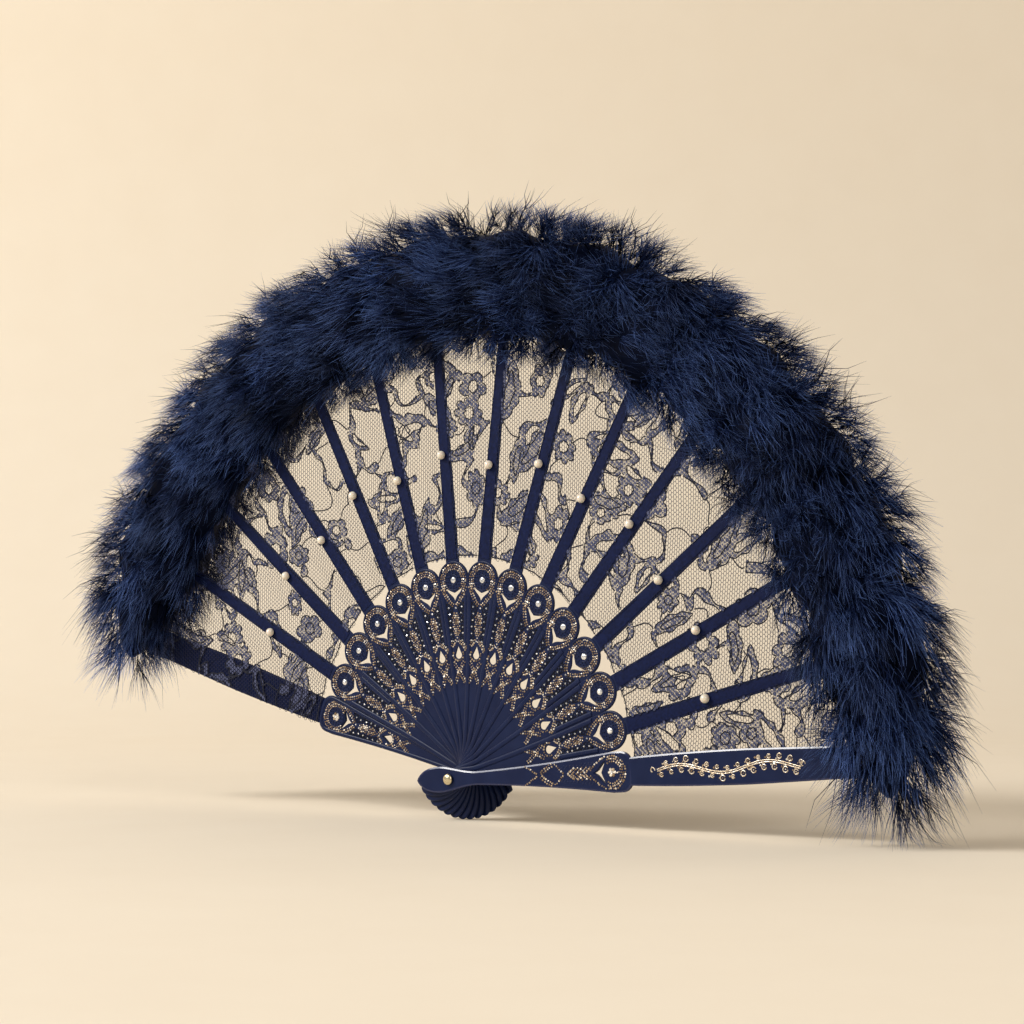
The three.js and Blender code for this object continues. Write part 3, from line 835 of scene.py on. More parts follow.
def lace_finish(name, dark, light, spacing, roughness, sheen):
    material, tree, shader = new_finish(
        name, Roughness=roughness, Sheen_Weight=sheen, Sheen_Roughness=0.4)
    place = add(tree, "ShaderNodeTexCoord").outputs["Object"]
    # Blotches of about 5 mm
    blotch = add(tree, "ShaderNodeTexNoise", {
        "Vector": place, "Scale": 1 / (5 * MM), "Detail": 2})
    thread = add(tree, "ShaderNodeTexWave", {
        "Vector": place, "Scale": HALF_WAVE / (spacing * MM), "Distortion": 1.5, "Detail": 1},
        bands_direction="DIAGONAL").outputs["Fac"]
    both = add(tree, "ShaderNodeMath", (blotch, thread), operation="MULTIPLY")
    tint = add(tree, "ShaderNodeMix", {
        "Factor": both, 6: linear(dark), 7: linear(light)}, data_type="RGBA")
    bump = add(tree, "ShaderNodeBump", {
        "Height": thread, "Strength": 0.35, "Distance": 0.08 * MM})
    give(shader, {"Base Color": tint.outputs[2], "Normal": bump})
    return material


# Real thread is 0.15 mm apart; these spacings are coarser so that they show
net_thread = lace_finish("polyester_net_thread", "#0f1430", "#20284e", 0.5, 0.85, 0.0)
satin_patch = lace_finish("polyester_satin_patch", "#262d52", "#656c8c", 0.5, 0.7, 0.03)
gimp_cord = lace_finish("polyester_gimp_cord", "#04071a", "#0f1634", 0.6, 0.8, 0.0)
print("lace finishes:", net_thread.name, satin_patch.name, gimp_cord.name)

# %% [markdown]
# ## The figure of the lace
# A lace figure is one web, drawn over the whole leaf at once, because lace is cut from a length and
# its figure runs on across the ribs. Seeds are scattered in staggered rows, a Delaunay
# triangulation joins neighbours, and the middle of each triangle becomes a knot. Some strands
# between the knots are broad lobed ribbons, some are a single cord, some are left out. Leaves and
# flowers sit on the knots.

# %% Shapes of the figure
design = np.random.default_rng(29)


def leaf_shape(length, width, sway):
    u = np.linspace(0, 1, 22)
    middle = np.stack([u * length, sway * np.sin(u * math.pi)], 1)
    lobed = 0.86 + 0.14 * np.sin(u * length * 0.9)
    wide = np.stack([0 * u, width / 2 * lobed * np.sin(math.pi * u ** 0.8) ** 0.7], 1)
    return np.vstack([middle + wide, (middle - wide)[-2:0:-1]])


def scalloped(radius, lobes, depth, steps=40):
    a = np.linspace(0, 2 * math.pi, steps, endpoint=False)
    r = radius * (1 - depth + depth * abs(np.sin(a * lobes / 2)) ** 0.7)
    return np.stack([r * np.cos(a), r * np.sin(a)], 1)


def ribbon(line, width):
    wide = width / 2 * (0.6 + 0.4 * np.sin(np.linspace(0.2, 2.6 * math.pi, len(line))))
    side = left_of(np.gradient(line, axis=0)) * wide[:, None]
    return np.vstack([line + side, (line - side)[::-1]])


def moved(shape, at=(0, 0), turn=0.0, stretch=1.0):
    c, s = math.cos(turn), math.sin(turn)
    return (np.array(shape) * (stretch, 1)) @ np.array([[c, s], [-s, c]]) + np.array(at)


def polar(reach, angle):
    return np.array((reach * math.cos(angle), reach * math.sin(angle)))


print("corners of a leaf:", len(leaf_shape(20, 8, 1)), "of a flower:", len(scalloped(6, 5, 0.3)))

# %% The web over the whole leaf
LACE_START, LACE_END, REAR_OVERHANG, GLUED = 93.8, 200.0, 6.0, 0.4
SEED_ROWS, SEED_STEP, LONGEST_STRAND = np.arange(88, 222, 18.0), 22, 30
# The draws below these shares are ribbons or cords, leaves or flowers
RIBBONS, CORDS, LEAVES, FLOWERS = 0.55, 0.92, 0.45, 0.66
seeds = []
for k, reach in enumerate(SEED_ROWS):
    step = SEED_STEP / reach
    for angle in np.arange(stick_angle(0) - 0.1, stick_angle(LAST) + 0.2, step):
        stray = reach + design.normal(0, 3)
        seeds.append(polar(stray, angle + step * (k % 2 / 2 + design.normal(0, 0.2))))
seeds = np.array(seeds)
triangles = delaunay_2d_cdt([Vector(seed) for seed in seeds], [], [], 0, 1e-6)[2]
sides = {}
for t, triangle in enumerate(triangles):
    for a, b in zip(triangle, triangle[1:] + triangle[:1]):
        sides.setdefault((min(a, b), max(a, b)), []).append(t)
knots = np.array([seeds[list(triangle)].mean(0) for triangle in triangles])
patches, eyes, cords, veins = [], [], [], []
for pair in sides.values():
    if len(pair) < 2 or np.linalg.norm(knots[pair[0]] - knots[pair[1]]) > LONGEST_STRAND:
        continue
    start, end = knots[pair[0]], knots[pair[1]]
    across = np.array((start[1] - end[1], end[0] - start[0]))
    first, second = design.normal(0, 0.5, 2)
    strand = bend(start, start + (end - start) / 3 + across * first,
                  start + (end - start) * 2 / 3 + across * second, end, steps=14)
    kind = design.random()
    if kind < RIBBONS:
        patches.append(ribbon(np.array(strand + [end]), design.uniform(1.6, 4.6)))
    elif kind < CORDS:
        cords.append(np.array(strand + [end]))
for knot in knots:
    kind, turn, is_open = design.random(), design.uniform(0, 2 * math.pi), design.random() < 0.55
    if kind < LEAVES:
        length, share = design.uniform(14, 27), design.uniform(0.34, 0.5)
        bow = design.normal(0, 1.6)
        patches.append(moved(leaf_shape(length, length * share, bow), knot, turn))
        inner = leaf_shape(length * 0.66, length * share * 0.5, bow * 0.6)
        start = knot + polar(length * 0.17, turn)
    elif kind < FLOWERS:
        size, lobes = design.uniform(4.6, 8.0), int(design.integers(5, 9))
        patches.append(moved(scalloped(size, lobes, 0.3), knot, turn, 1.3))
        inner, start = scalloped(size * 0.46, lobes, 0.25, 24), knot
    else:
        continue
    inner = moved(inner, start, turn)
    veins.append(np.vstack([inner, inner[:1]]))
    if is_open:
        eyes.append(inner)
print("knots:", len(knots), "patches:", len(patches), "cords:", len(cords), "eyes:", len(eyes))

# %% [markdown]
# ## The net
# A hexagonal net is a lattice, so it is counted out with numpy: the corners of all cells, the
# threads between them and the cells that lie inside a patch. Each of the fourteen panels takes the
# threads in its own gap, bends them to the fold's depth, and the bar tree turns them into thread.
# Cells inside a patch get a small hexagonal plate, which makes the denser satin. The ribs show
# clean through the leaf, so a panel ends on the rib's edge, where a narrow strip of it is glued
# down.

# %% Cells and threads over the whole leaf
CELL, CELL_STRETCH = 0.78, 1.3
SHOULDER_END, SHOULDER_HALF = 94, 8.6
column, level = np.meshgrid(np.arange(-180, 181), np.arange(-8, 120))
tall = math.sqrt(3) * CELL * CELL_STRETCH
middles = np.stack([1.5 * CELL * column, tall * (level + 0.5 * (column % 2))], -1).reshape(-1, 2)


def in_leaf(spots):
    reach, angle = np.hypot(*spots.T), np.arctan2(spots[:, 1], spots[:, 0])
    nearest = np.round((angle - stick_angle(0)) / GAP)
    heads = stick_angle(0) + GAP * nearest
    beside = np.hypot(spots[:, 0] - HEAD_AT * np.cos(heads), spots[:, 1] - HEAD_AT * np.sin(heads))
    from_rear = abs(angle - stick_angle(LAST)) * reach
    on_shoulder = (reach < SHOULDER_END) & (from_rear < SHOULDER_HALF)
    rib = np.interp(reach, (92, 142, 202), (RIB_ROOT, RIB_MIDDLE, RIB_TIP)) - GLUED
    on_rib = (abs(angle - heads) * reach < rib) & (nearest > 0) & (nearest < LAST)
    return ((reach > LACE_START) & (reach < LACE_END) & (angle > stick_angle(0))
            & (beside > HEAD_HALF + 0.3) & ~on_shoulder & ~on_rib
            & (angle < stick_angle(LAST) + REAR_OVERHANG / np.maximum(reach, 1)))


middles = middles[in_leaf(middles)]
sixths = np.arange(6) * math.pi / 3
around = np.stack([(math.cos(a), math.sin(a) * CELL_STRETCH) for a in sixths]) * CELL
corners = (middles[:, None] + around[None]).reshape(-1, 2)
corners, index = np.unique(np.round(corners, 3), axis=0, return_inverse=True)
index = index.reshape(-1, 6)
threads = np.sort(np.stack([index, np.roll(index, -1, 1)], -1).reshape(-1, 2), 1)
threads = np.unique(threads, axis=0)


def inside(spots, shape):
    hit = np.zeros(len(spots), bool)
    near = ((spots > shape.min(0)) & (spots < shape.max(0))).all(1)
    p, found = spots[near], np.zeros(near.sum(), bool)
    for (x0, y0), (x1, y1) in zip(shape, np.roll(shape, -1, 0)):
        cross = (y0 > p[:, 1]) != (y1 > p[:, 1])
        slope = (x1 - x0) / (y1 - y0) if y1 != y0 else 0.0
        found ^= cross & (p[:, 0] < x0 + slope * (p[:, 1] - y0))
    hit[near] = found
    return hit


filled = np.zeros(len(middles), bool)
for shape in patches:
    filled |= inside(middles, shape)
for shape in eyes:
    filled &= ~inside(middles, shape)
# A patch is a denser net, so its plates leave a slit of light, wider in one cell than in the next
plate_sizes = design.uniform(0.62, 1.0, len(middles))
print("cells:", len(middles), "threads:", len(threads), "filled share:", round(filled.mean(), 2))

# %% The gimp outlines the whole figure, so it is dropped where one shape covers another
GIMP_STEP = 0.9
hem = arc((0, 0), LACE_START + 0.4, 0, 180, 500)
lines = [np.vstack([shape, shape[:1]]) for shape in patches] + cords + veins + [hem]
lines = [row(line, GIMP_STEP) for line in lines]
owner = np.repeat(np.arange(len(lines)), [len(line) for line in lines])
spots = np.vstack(lines)
shown = in_leaf(spots)
for k, shape in enumerate(patches):
    shown &= ~(inside(spots, shape) & (owner != k) & (owner < len(patches) + len(cords)))
links = np.flatnonzero((owner[:-1] == owner[1:]) & shown[:-1] & shown[1:])
print("gimp:", round(GIMP_STEP * len(links) * MM, 1), "metres")


# %% Depth of the folded leaf, and the panel that a spot belongs to
CREASE, BLADE_REST, RIB_REST = 1, 7.0, 3.6


def lace_depth(i):
    return 1.0 if i == 0 else LAYER * i - 0.6


def panel_of(spots):
    angle = np.arctan2(spots[:, 1], spots[:, 0])
    return np.clip(((angle - stick_angle(0)) / GAP).astype(int) + 1, 1, LAST)


def on_panel(spots, i, lift=0.0):
    reach, angle = np.hypot(*spots.T), np.arctan2(spots[:, 1], spots[:, 0])
    first, last = lace_depth(i - 1), lace_depth(i)
    crease = (first + last) / 2 + CREASE
    rest = [BLADE_REST if k in (0, LAST) else RIB_REST for k in (i - 1, i)]
    halfway = reach * GAP / 2
    before, after = (angle - stick_angle(i - 1)) * reach, (stick_angle(i) - angle) * reach
    rise = np.clip((before - rest[0]) / (halfway - rest[0]), 0, 1)
    fall = np.clip((after - rest[1]) / (halfway - rest[1]), 0, 1)
    depth = np.where(before < after, first + (crease - first) * rise, last + (crease - last) * fall)
    return np.column_stack([spots, lift - depth])


print("depth of the leaf at each stick:", [round(lace_depth(i), 1) for i in range(STICKS)])


# %% Make the fourteen panels
def cord_lines(i):
    mine = links[panel_of(spots[links]) == i]
    used, short = np.unique(np.stack([mine, mine + 1], 1), return_inverse=True)
    return new_mesh("cords", on_panel(spots[used], i, 0.12).tolist(), short.reshape(-1, 2).tolist())


BLEND_AT = 100 * MM
lace_faces = 0
for i in range(1, STICKS):
    mine = panel_of((corners[threads[:, 0]] + corners[threads[:, 1]]) / 2) == i
    used, short = np.unique(threads[mine], return_inverse=True)
    net = new_mesh("net", on_panel(corners[used], i).tolist(), short.reshape(-1, 2).tolist())
    satin = filled & (panel_of(middles) == i)
    cells = on_panel(middles[satin], i, -0.06)
    parts = [
        grown(net, bar_tree, Width=0.22, Height=0.14, Sides=3, Material=net_thread),
        grown(point_mesh(cells, plate_sizes[satin]), stud_tree, Radius=CELL * 0.86, Top=1.0,
              Height=0.12, Sides=6, Tilt=0.0, Stretch=CELL_STRETCH, Seed=1, Material=satin_patch),
        grown(cord_lines(i), bar_tree, Width=0.56, Height=0.22, Sides=4, Material=gimp_cord),
    ]
    panel = set_piece(f"lace_panel_{i:02d}", joined("lace", parts), FLAT_BOARD, None,
                      f"leaf_{i:02d}")
    lace_faces += len(panel.data.polygons)
    ends = [(BLEND_AT * math.cos(stick_angle(k)), 0, BLEND_AT * math.sin(stick_angle(k)))
            for k in (i - 1, i)]
    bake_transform(panel)
print("lace faces:", lace_faces)

# %% [markdown]
# ## Dyed marabou
# The boa is marabou: down plumes whose barbs are long, fine and don't hook together. Its navy is
# painted almost black at the root of a barb, painted shade deep in the down, and a clearer blue at
# the tip, painted light on the outer barbs. Each barb knows how far it is from its root, and each
# plume has a random shade. Both are attributes that the finish reads.

# %% Dyed marabou down
marabou, tree, shader = new_finish("dyed_marabou_down", Roughness=0.55)
tip, shade = [add(tree, "ShaderNodeAttribute", attribute_name=name).outputs["Fac"]
              for name in ("tip", "shade")]
# Painted shade, near black, at the root of a barb and painted light, a clearer blue, at its tip
root_shade_tip_light = add(tree, "ShaderNodeValToRGB", {"Fac": tip})
root_shade_tip_light.color_ramp.elements.new(0.45)
for mark, colour in zip(root_shade_tip_light.color_ramp.elements, ("#02040a", "#0e1e45", "#5673b2")):
    mark.color = linear(colour)
light = add(tree, "ShaderNodeMapRange", {"Value": shade, "To Min": 0.22, "To Max": 2.15})
# Light is lost between the roots, so only the outer part of a barb shines
shine = add(tree, "ShaderNodeMapRange", {"Value": tip, "To Min": 0.0, "To Max": 0.3})
painted_light_and_tone = add(tree, "ShaderNodeMix", {"Factor": 1.0, 6: root_shade_tip_light, 7: light}, data_type="RGBA",
           blend_type="MULTIPLY")
give(shader, {"Base Color": painted_light_and_tone.outputs[2], "Specular IOR Level": shine})
print("made", marabou.name)

# %% [markdown]
# ## One plume
# A plume is a thin bent shaft with barbs all along it, every barb a tapered thread that leaves the
# shaft at an angle and swings back towards the tip. One tree grows it: points along the shaft, a barb
# on each, turned and stretched at random. Eight seeds give eight plumes, enough that the eye doesn't
# find the repeat. The last two are wisps with few, longer barbs for the ragged edge, which reach only
# half of the painted tip light, so they stay darker against the backdrop.

# %% The plume tree
FULL_TURN = 6.283
plume_tree, inputs = new_tree(
    "plume", Length="Float", Barb="Float", Count="Int", Thickness="Float", Clearness="Float",
    Seed="Int", Material="Material")
tall = add(plume_tree, "ShaderNodeCombineXYZ", {"X": 3.0, "Z": inputs["Length"]})
waist = add(plume_tree, "ShaderNodeVectorMath", (tall, (-0.4, 0.5, 0.5)), operation="MULTIPLY")
shaft = add(plume_tree, "GeometryNodeCurveQuadraticBezier", {
    "Resolution": 5, "Start": (0, 0, 0), "Middle": waist, "End": tall})
roots = add(plume_tree, "GeometryNodeCurveToPoints", {"Curve": shaft, "Count": inputs["Count"]})
bow = [add(plume_tree, "ShaderNodeVectorMath", {0: spot, "Scale": inputs["Barb"]},
           operation="SCALE") for spot in ((0.24, 0, 0.42), (0.3, 0, 1.0))]
barb_line = add(plume_tree, "GeometryNodeCurveQuadraticBezier", {
    "Start": (0, 0, 0), "Middle": bow[0], "End": bow[1]})
along = add(plume_tree, "GeometryNodeSplineParameter")
thin = add(plume_tree, "ShaderNodeMapRange", {"Value": along, "To Min": 1.0, "To Max": 0.12})
barb_line = add(plume_tree, "GeometryNodeResampleCurve", {"Curve": barb_line, "Count": 3})
tapered = add(plume_tree, "GeometryNodeSetCurveRadius", {"Curve": barb_line, "Radius": thin})
# How far up the ramp of painted tip light a barb reaches
clear = add(plume_tree, "ShaderNodeMath", (along, inputs["Clearness"]), operation="MULTIPLY")
marked = add(plume_tree, "GeometryNodeStoreNamedAttribute", {
    "Geometry": tapered, "Name": "tip", "Value": clear}, data_type="FLOAT", domain="POINT")
round_section = add(plume_tree, "GeometryNodeCurvePrimitiveCircle", {
    "Resolution": 3, "Radius": inputs["Thickness"]})
radius = add(plume_tree, "GeometryNodeInputRadius")
barb = add(plume_tree, "GeometryNodeCurveToMesh", {
    "Curve": marked, "Profile Curve": round_section, "Scale": radius, "Fill Caps": True})
spin = add(plume_tree, "FunctionNodeRandomValue", {
    0: (-0.28, -0.28, 0.0), 1: (0.28, 0.28, FULL_TURN), 8: inputs["Seed"]},
    data_type="FLOAT_VECTOR")
more = add(plume_tree, "ShaderNodeMath", (inputs["Seed"], 50.0))
grow = add(plume_tree, "FunctionNodeRandomValue", {
    0: (0.45, 0.45, 0.65), 1: (1.25, 1.25, 1.2), 8: more}, data_type="FLOAT_VECTOR")
barbs = add(plume_tree, "GeometryNodeInstanceOnPoints", {
    "Points": roots, "Instance": barb, "Rotation": spin, "Scale": grow})
quill = add(plume_tree, "GeometryNodeCurveToMesh", {
    "Curve": shaft, "Profile Curve": round_section, "Fill Caps": True})
whole = add(plume_tree, "GeometryNodeJoinGeometry", {"Geometry": barbs})
give(whole, {"Geometry": quill})
smooth = add(plume_tree, "GeometryNodeSetShadeSmooth", {"Geometry": whole})
end_tree(plume_tree, smooth, inputs["Material"])
print("made tree", plume_tree.name)

# %% Eight plumes
PLUMES = 8
seed_mesh = bpy.data.meshes.new("seed")
plumes = bpy.data.collections.new("plumes")
for k in range(PLUMES):
    is_wisp = k >= PLUMES - 2
    # Wisps reach only half of the painted tip light, so they stay darker
    mesh = grown(seed_mesh, plume_tree, Length=6.0 + 0.9 * k, Barb=28.0 if is_wisp else 18.5,
                 Count=9 if is_wisp else 27, Thickness=0.22 if is_wisp else 0.15,
                 Clearness=0.5 if is_wisp else 1.0, Seed=k, Material=marabou)
    plumes.objects.link(bpy.data.objects.new(f"plume_{k}", mesh))
print("a plume has", len(mesh.polygons), "faces")

# %% [markdown]
# ## The boa
# On the real boa the plumes are twisted on a cord, and their lower halves make a dense dark core of
# down. Here a lumpy core for each stick is the ground that the plumes grow from, and its near-black
# colour is painted shade for the deep gaps between the plumes. The tree scatters points on it and
# plants a plume on each, combed away from the parting at the top. Barbs that would stray far are
# drawn in a little, and those that would reach the table are pressed flat on it.

# %% The boa tree plants the plumes
boa_tree, inputs = new_tree(
    "boa", Density="Float", Lean="Float", Comb="Float", Ring="Float", Layer="Float", Floor="Float",
    Seed="Int", Plumes="Collection", Material="Material")
where = add(boa_tree, "GeometryNodeInputPosition")
in_plane = add(boa_tree, "ShaderNodeVectorMath", (where, (1, 1, 0)), operation="MULTIPLY")
outward = add(boa_tree, "ShaderNodeVectorMath", (in_plane,), operation="NORMALIZE")
sideways = add(boa_tree, "ShaderNodeVectorMath", ((0, 0, 1), outward), operation="CROSS_PRODUCT")
normal = add(boa_tree, "GeometryNodeInputNormal")
facing = add(boa_tree, "ShaderNodeVectorMath", (normal, sideways), operation="DOT_PRODUCT")
facing = add(boa_tree, "ShaderNodeMath", (facing.outputs["Value"],), operation="ABSOLUTE")
# The cut ends, where a core meets its neighbour, stay bare
bare = add(boa_tree, "ShaderNodeMath", (facing, 0.97), operation="LESS_THAN")
spots = add(boa_tree, "GeometryNodeDistributePointsOnFaces", {
    "Mesh": inputs["Geometry"], "Selection": bare, "Density": inputs["Density"],
    "Seed": inputs["Seed"]})
stock = add(boa_tree, "GeometryNodeCollectionInfo", {
    "Collection": inputs["Plumes"], "Separate Children": True, "Reset Children": True})
choice = add(boa_tree, "FunctionNodeRandomValue", {4: 0, 5: PLUMES - 1, 8: inputs["Seed"]},
             data_type="INT")
# Neighbours lean the same way and make locks of about 22 mm
locks = add(boa_tree, "ShaderNodeTexNoise", {"Vector": where, "Scale": 1 / 22, "Detail": 1})
wave = add(boa_tree, "ShaderNodeVectorMath", (locks.outputs["Color"], (0.5, 0.5, 0.5)),
           operation="SUBTRACT")
wide = add(boa_tree, "ShaderNodeVectorMath", {0: wave, "Scale": inputs["Lean"]},
           operation="SCALE")
stray = add(boa_tree, "FunctionNodeRandomValue", {
    0: (-0.25, -0.25, -0.15), 1: (0.25, 0.25, 0.15), 8: inputs["Seed"]}, data_type="FLOAT_VECTOR")
lean = add(boa_tree, "ShaderNodeVectorMath", (wide, (1, 1, 0.6), stray),
           operation="MULTIPLY_ADD")
# Some plumes lie flat along the core and others stand out of it
press = add(boa_tree, "FunctionNodeRandomValue", {2: 0.4, 3: 2.2, 8: inputs["Seed"]},
            data_type="FLOAT")
press = add(boa_tree, "ShaderNodeMath", (press.outputs[1], inputs["Comb"]), operation="MULTIPLY")
combed = add(boa_tree, "ShaderNodeVectorMath", {0: sideways, "Scale": press}, operation="SCALE")
# A stronger Z turns plumes away from the lace, to its front or its back
parted = add(boa_tree, "ShaderNodeVectorMath", (spots.outputs["Normal"], (1, 1, 1.6)),
             operation="MULTIPLY")
growth = add(boa_tree, "ShaderNodeVectorMath", (parted, combed), operation="ADD")
growth = add(boa_tree, "ShaderNodeVectorMath", (growth, lean), operation="ADD")
aimed = add(boa_tree, "FunctionNodeAlignRotationToVector", {"Vector": growth}, axis="Z")
spin = add(boa_tree, "FunctionNodeRandomValue", {
    0: (0, 0, 0), 1: (0, 0, FULL_TURN), 8: inputs["Seed"]}, data_type="FLOAT_VECTOR")
turn = add(boa_tree, "FunctionNodeRotateRotation", (aimed, spin), rotation_space="LOCAL")
later = add(boa_tree, "ShaderNodeMath", (inputs["Seed"], 77.0))
size = add(boa_tree, "FunctionNodeRandomValue", {2: 0.7, 3: 1.35, 8: later}, data_type="FLOAT")
# Plumes that face the rivet are shorter, so they don't veil the lace
inwards = add(boa_tree, "ShaderNodeVectorMath", (spots.outputs["Normal"], outward),
              operation="DOT_PRODUCT")
trim = add(boa_tree, "ShaderNodeMapRange", {
    "Value": inwards.outputs["Value"], "From Min": -1.0, "From Max": 0.1,
    "To Min": 0.7, "To Max": 1.0})
size = add(boa_tree, "ShaderNodeMath", (size.outputs[1], trim), operation="MULTIPLY")
planted = add(boa_tree, "GeometryNodeInstanceOnPoints", {
    "Points": spots, "Instance": stock, "Pick Instance": True,
    "Instance Index": choice.outputs[2], "Rotation": turn, "Scale": size})
# Half of a plume's shade is its own and half is its lock's
own = add(boa_tree, "FunctionNodeRandomValue", {3: 0.5, 8: inputs["Seed"]}, data_type="FLOAT")
most = add(boa_tree, "ShaderNodeMath", (own.outputs[1], 0.5))
pick = add(boa_tree, "ShaderNodeMapRange", {
    "Value": locks, "From Min": 0.35, "From Max": 0.65, "To Min": own.outputs[1],
    "To Max": most})
shaded = add(boa_tree, "GeometryNodeStoreNamedAttribute", {
    "Geometry": planted, "Name": "shade", "Value": pick}, data_type="FLOAT", domain="INSTANCE")
loose = add(boa_tree, "GeometryNodeRealizeInstances", {"Geometry": shaded})
print("nodes that plant:", len(boa_tree.nodes))

# %% Its second half draws stray barbs in
# The section of the boa is an oval about the ring that the rib tips lie on. A barb is left alone
# up to FREE from the ring and drawn in to a third of its length beyond. To the left and right there
# is room for longer wisps
FREE, THIRD, WISPS, FLATNESS = 31.5, 0.31, 0.2, 1.35
split = add(boa_tree, "ShaderNodeSeparateXYZ", (where,))
reach = add(boa_tree, "ShaderNodeVectorMath", (in_plane,), operation="LENGTH")
sums = {"x": split.outputs["X"], "z": split.outputs["Z"], "reach": reach.outputs["Value"],
        "ring": inputs["Ring"], "layer": inputs["Layer"]}
for name, operation, *terms in (
        ("rise", "SUBTRACT", "reach", "ring"),
        ("depth", "ADD", "z", "layer"),
        ("thick", "MULTIPLY", "depth", FLATNESS),
        ("rise squared", "MULTIPLY", "rise", "rise"),
        ("thick squared", "MULTIPLY", "thick", "thick"),
        ("away squared", "ADD", "rise squared", "thick squared"),
        ("away", "SQRT", "away squared"),
        ("beyond", "SUBTRACT", "away", FREE),
        ("divisor", "MAXIMUM", "away", 1.0),
        ("eased", "MULTIPLY_ADD", "beyond", THIRD, FREE),
        ("nearer", "MINIMUM", "away", "eased"),
        ("pull", "DIVIDE", "nearer", "divisor"),
        ("side", "DIVIDE", "x", "reach"),
        ("side squared", "MULTIPLY", "side", "side"),
        ("wispy share", "MULTIPLY_ADD", "side squared", WISPS, THIRD),
        ("wispy eased", "MULTIPLY_ADD", "beyond", "wispy share", FREE),
        ("wispy nearer", "MINIMUM", "away", "wispy eased"),
        ("wispy pull", "DIVIDE", "wispy nearer", "divisor"),
        ("new reach", "MULTIPLY_ADD", "rise", "wispy pull", "ring"),
        ("closer", "DIVIDE", "new reach", "reach"),
        ("new depth", "MULTIPLY", "depth", "pull"),
        ("new z", "SUBTRACT", "new depth", "layer")):
    sums[name] = add(boa_tree, "ShaderNodeMath", [sums.get(term, term) for term in terms],
                     operation=operation)
near = add(boa_tree, "ShaderNodeVectorMath", {0: in_plane, "Scale": sums["closer"]},
           operation="SCALE")
near = add(boa_tree, "ShaderNodeSeparateXYZ", (near,))
on_table = add(boa_tree, "ShaderNodeMath", (near.outputs["Y"], inputs["Floor"]),
               operation="MAXIMUM")
kept = add(boa_tree, "ShaderNodeCombineXYZ", (near.outputs["X"], on_table, sums["new z"]))
rested = add(boa_tree, "GeometryNodeSetPosition", {"Geometry": loose, "Position": kept})
whole = add(boa_tree, "GeometryNodeJoinGeometry", {"Geometry": rested})
give(whole, {"Geometry": inputs["Geometry"]})
end_tree(boa_tree, whole, inputs["Material"])
print("nodes in tree", boa_tree.name, len(boa_tree.nodes))

# %% The core that a tuft grows from
CORE_AT, CORE_HALF_WIDTH, CORE_HALF_DEPTH = 208.5, 22.5, 20.0
FIRST_END, LAST_END = stick_angle(0) - math.radians(3.8), stick_angle(LAST) + math.radians(3.2)
# The core takes colours near the root of the ramp: painted shade for the deep gaps between the plumes
CORE_PAINTED_SHADE = {"tip": 0.12, "shade": 0.3}


def slim(angle):
    # Both ends taper to half
    return min(1, 0.5 + 0.5 * (angle - FIRST_END) / math.radians(16),
               0.5 + 0.5 * (LAST_END - angle) / math.radians(14))


def core_size(angle):
    from_stick = (angle - FIRST_ANGLE) / GAP
    swell = 1 - 0.14 * (2 * (from_stick - round(from_stick))) ** 2
    lumps = swell * (1 + 0.05 * math.sin(angle * 61 + 1))
    from_end = min(angle - FIRST_END, LAST_END - angle) / math.radians(7)
    return lumps * slim(angle) * min(1, 0.1 + 0.9 * max(from_end, 0) ** 0.5)


def core_mesh(i, stations=9, n=16):
    first = stick_angle(i) - GAP / 2 if i else FIRST_END
    last = stick_angle(i) + GAP / 2 if i < LAST else LAST_END
    points = []
    for angle in np.linspace(first, last, stations):
        # The tapered ends lie nearer to the tip of a guard
        shift = (11 if i == LAST else 3) * (1 - slim(angle))
        for a in np.arange(n) * 2 * math.pi / n:
            reach = CORE_AT + shift + CORE_HALF_WIDTH * core_size(angle) * math.cos(a)
            points.append((reach * math.cos(angle), reach * math.sin(angle),
                           CORE_HALF_DEPTH * core_size(angle) * math.sin(a) - i * LAYER))
    mesh = tube("core", points, n)
    for name, value in CORE_PAINTED_SHADE.items():
        shades = mesh.attributes.new(name, "FLOAT", "POINT")
        shades.data.foreach_set("value", np.full(len(points), value))
    return mesh


print("core faces:", len(core_mesh(7).polygons))

# %% Grow a tuft for each stick
FLOOR_LEVEL, PARTING, LEAN = -17.3, 6.5, 3.0
PLUMES_PER_AREA = 0.0295


def combing(i):
    return min(1, max(-1, (i - PARTING) / 1.6)) * {0: 1.1, 1: 1.1, LAST: 0.7}.get(i, 0.55)


def density(i):
    # The first tuft is short and closes the end, and the parting shows the core, so both need more
    return {0: 1.7, 6: 1.2, 7: 1.2}.get(i, 1) * PLUMES_PER_AREA


boa_faces = 0
for i in range(STICKS):
    tuft = grown(core_mesh(i), boa_tree, Density=density(i), Lean=LEAN, Comb=combing(i),
                 Ring=CORE_AT, Layer=i * LAYER, Floor=FLOOR_LEVEL, Seed=100 + i, Plumes=plumes,
                 Material=marabou)
    piece = set_piece(f"boa_tuft_{i:02d}", tuft, FLAT_BOARD, stick_name(i), f"feather_{i:02d}")
    across, out = math.sin(stick_angle(i)), math.cos(stick_angle(i))
    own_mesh(piece)
    boa_faces += len(tuft.polygons)
for template in list(plumes.objects):
    bpy.data.objects.remove(template)
bpy.data.collections.remove(plumes)
print("boa faces:", boa_faces)

# %% [markdown]
# ## Stage, light and camera
# The fan stands on a seamless cream sweep, floor and wall in one curve, so no horizon shows. A
# large soft lamp to the upper left in front gives the highlights and the soft shadow to the right,
# and a small one beside it is mirrored in the polished edge of the guard. A weak lamp on the right
# and a weaker one behind open the shadows, and the pale world fills the rest. The camera stands
# where the photograph was taken from, found by fitting the places of the fifteen stones.

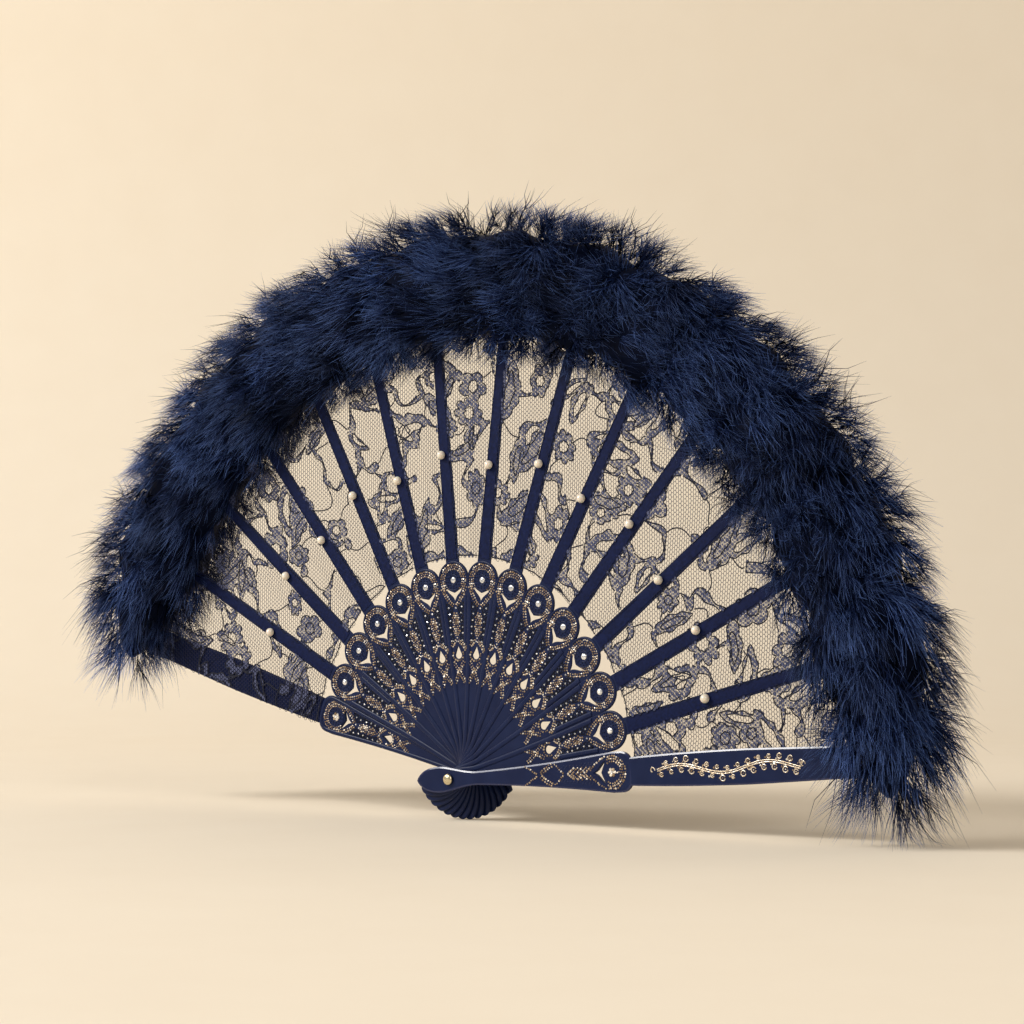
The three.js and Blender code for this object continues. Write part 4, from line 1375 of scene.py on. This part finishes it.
# %% A seamless paper sweep
CAMERA_TURN = 0.67522
BEND_AT, BEND = 0.75, 0.6
paper, tree, shader = new_finish("cream_paper", Roughness=0.9)
# Paper mottle of about 40 mm
give(shader, {"Base Color": mottled(tree, 40, 3, "#e8dcc9", "#ebe0ce")[0]})

profile = [(-3.0, 0.0), (BEND_AT, 0.0)]
profile += [(BEND_AT + BEND * math.sin(a), BEND - BEND * math.cos(a))
            for a in np.linspace(0.1, 1.5708, 12)]
profile += [(BEND_AT + BEND, 3.0)]
toward = Vector((-math.sin(CAMERA_TURN), math.cos(CAMERA_TURN), 0))
across = Vector((toward.y, -toward.x, 0))
points = [toward * d + across * s + Vector((0, 0, h - TAIL * MM))
          for d, h in profile for s in (-4, 4)]
faces = [(2 * k, 2 * k + 1, 2 * k + 3, 2 * k + 2) for k in range(len(profile) - 1)]
mesh = new_mesh("paper_sweep", points, faces=faces, material=paper)
mesh.shade_smooth()
new_object("paper_sweep", mesh)
print("sweep faces:", len(faces))

# %% Camera from the fit
CAMERA_RISE, DISTANCE, PAN, TILT = 0.05833, 1.17955, 0.02179, 0.09514
FOCAL_PIXELS, PHOTO_PIXELS, SENSOR = 2800, 1024, 36
level = math.cos(CAMERA_RISE)
back = Vector((math.sin(CAMERA_TURN) * level, -math.cos(CAMERA_TURN) * level,
               math.sin(CAMERA_RISE)))
right = (-back).cross(Vector((0, 0, 1))).normalized()
up = right.cross(-back)
ahead = -back * math.cos(PAN) + right * math.sin(PAN)
side = right * math.cos(PAN) + back * math.sin(PAN)
view = ahead * math.cos(TILT) + up * math.sin(TILT)
lift = up * math.cos(TILT) - ahead * math.sin(TILT)
camera = new_object("camera", bpy.data.cameras.new("camera"))
camera.data.sensor_width = SENSOR
camera.data.lens = FOCAL_PIXELS / PHOTO_PIXELS * SENSOR
turn = Matrix((side, lift, -view)).transposed().to_4x4()
camera.matrix_world = Matrix.Translation(back * DISTANCE) @ turn
bpy.context.scene.camera = camera
print("camera at", [round(c, 3) for c in camera.location])

# %% Soft studio light
world = bpy.data.worlds.new("studio")
bpy.context.scene.world = world
world.use_nodes = True
give(world.node_tree.nodes["Background"], {"Color": linear("#fffaf4"), "Strength": 0.26})


def soft_lamp(name, place, aim, size, power, colour):
    lamp = new_object(name, bpy.data.lights.new(name, "AREA"))
    lamp.data.size = size
    lamp.data.energy = power
    lamp.data.color = linear(colour)[:3]
    lamp.location = place
    lamp.rotation_euler = (Vector(aim) - Vector(place)).to_track_quat("-Z", "Y").to_euler()


soft_lamp("key", (-1.5, -2.2, 1.9), (0, 0, 0.08), 1.3, 92, "#fffcf7")
soft_lamp("edge", (-2.05, -1.5, 1.55), (0, 0, 0.05), 0.7, 10, "#fffdfa")
soft_lamp("fill", (1.9, -1.2, 1.3), (0.1, 0.3, 0.15), 1.4, 16, "#fff6ea")
soft_lamp("back", (0.6, 2.2, 1.5), (0, 0, 0.1), 1.6, 8, "#fff6ea")
bpy.context.scene.view_settings.view_transform = "Standard"

# %% [markdown]
# ## Last update
# The dressed fan must stay close to the CAD model's box, because other tools trust its size. This
# last step only brings the view layer up to date.

# %% Bring the view layer up to date
bpy.context.view_layer.update()
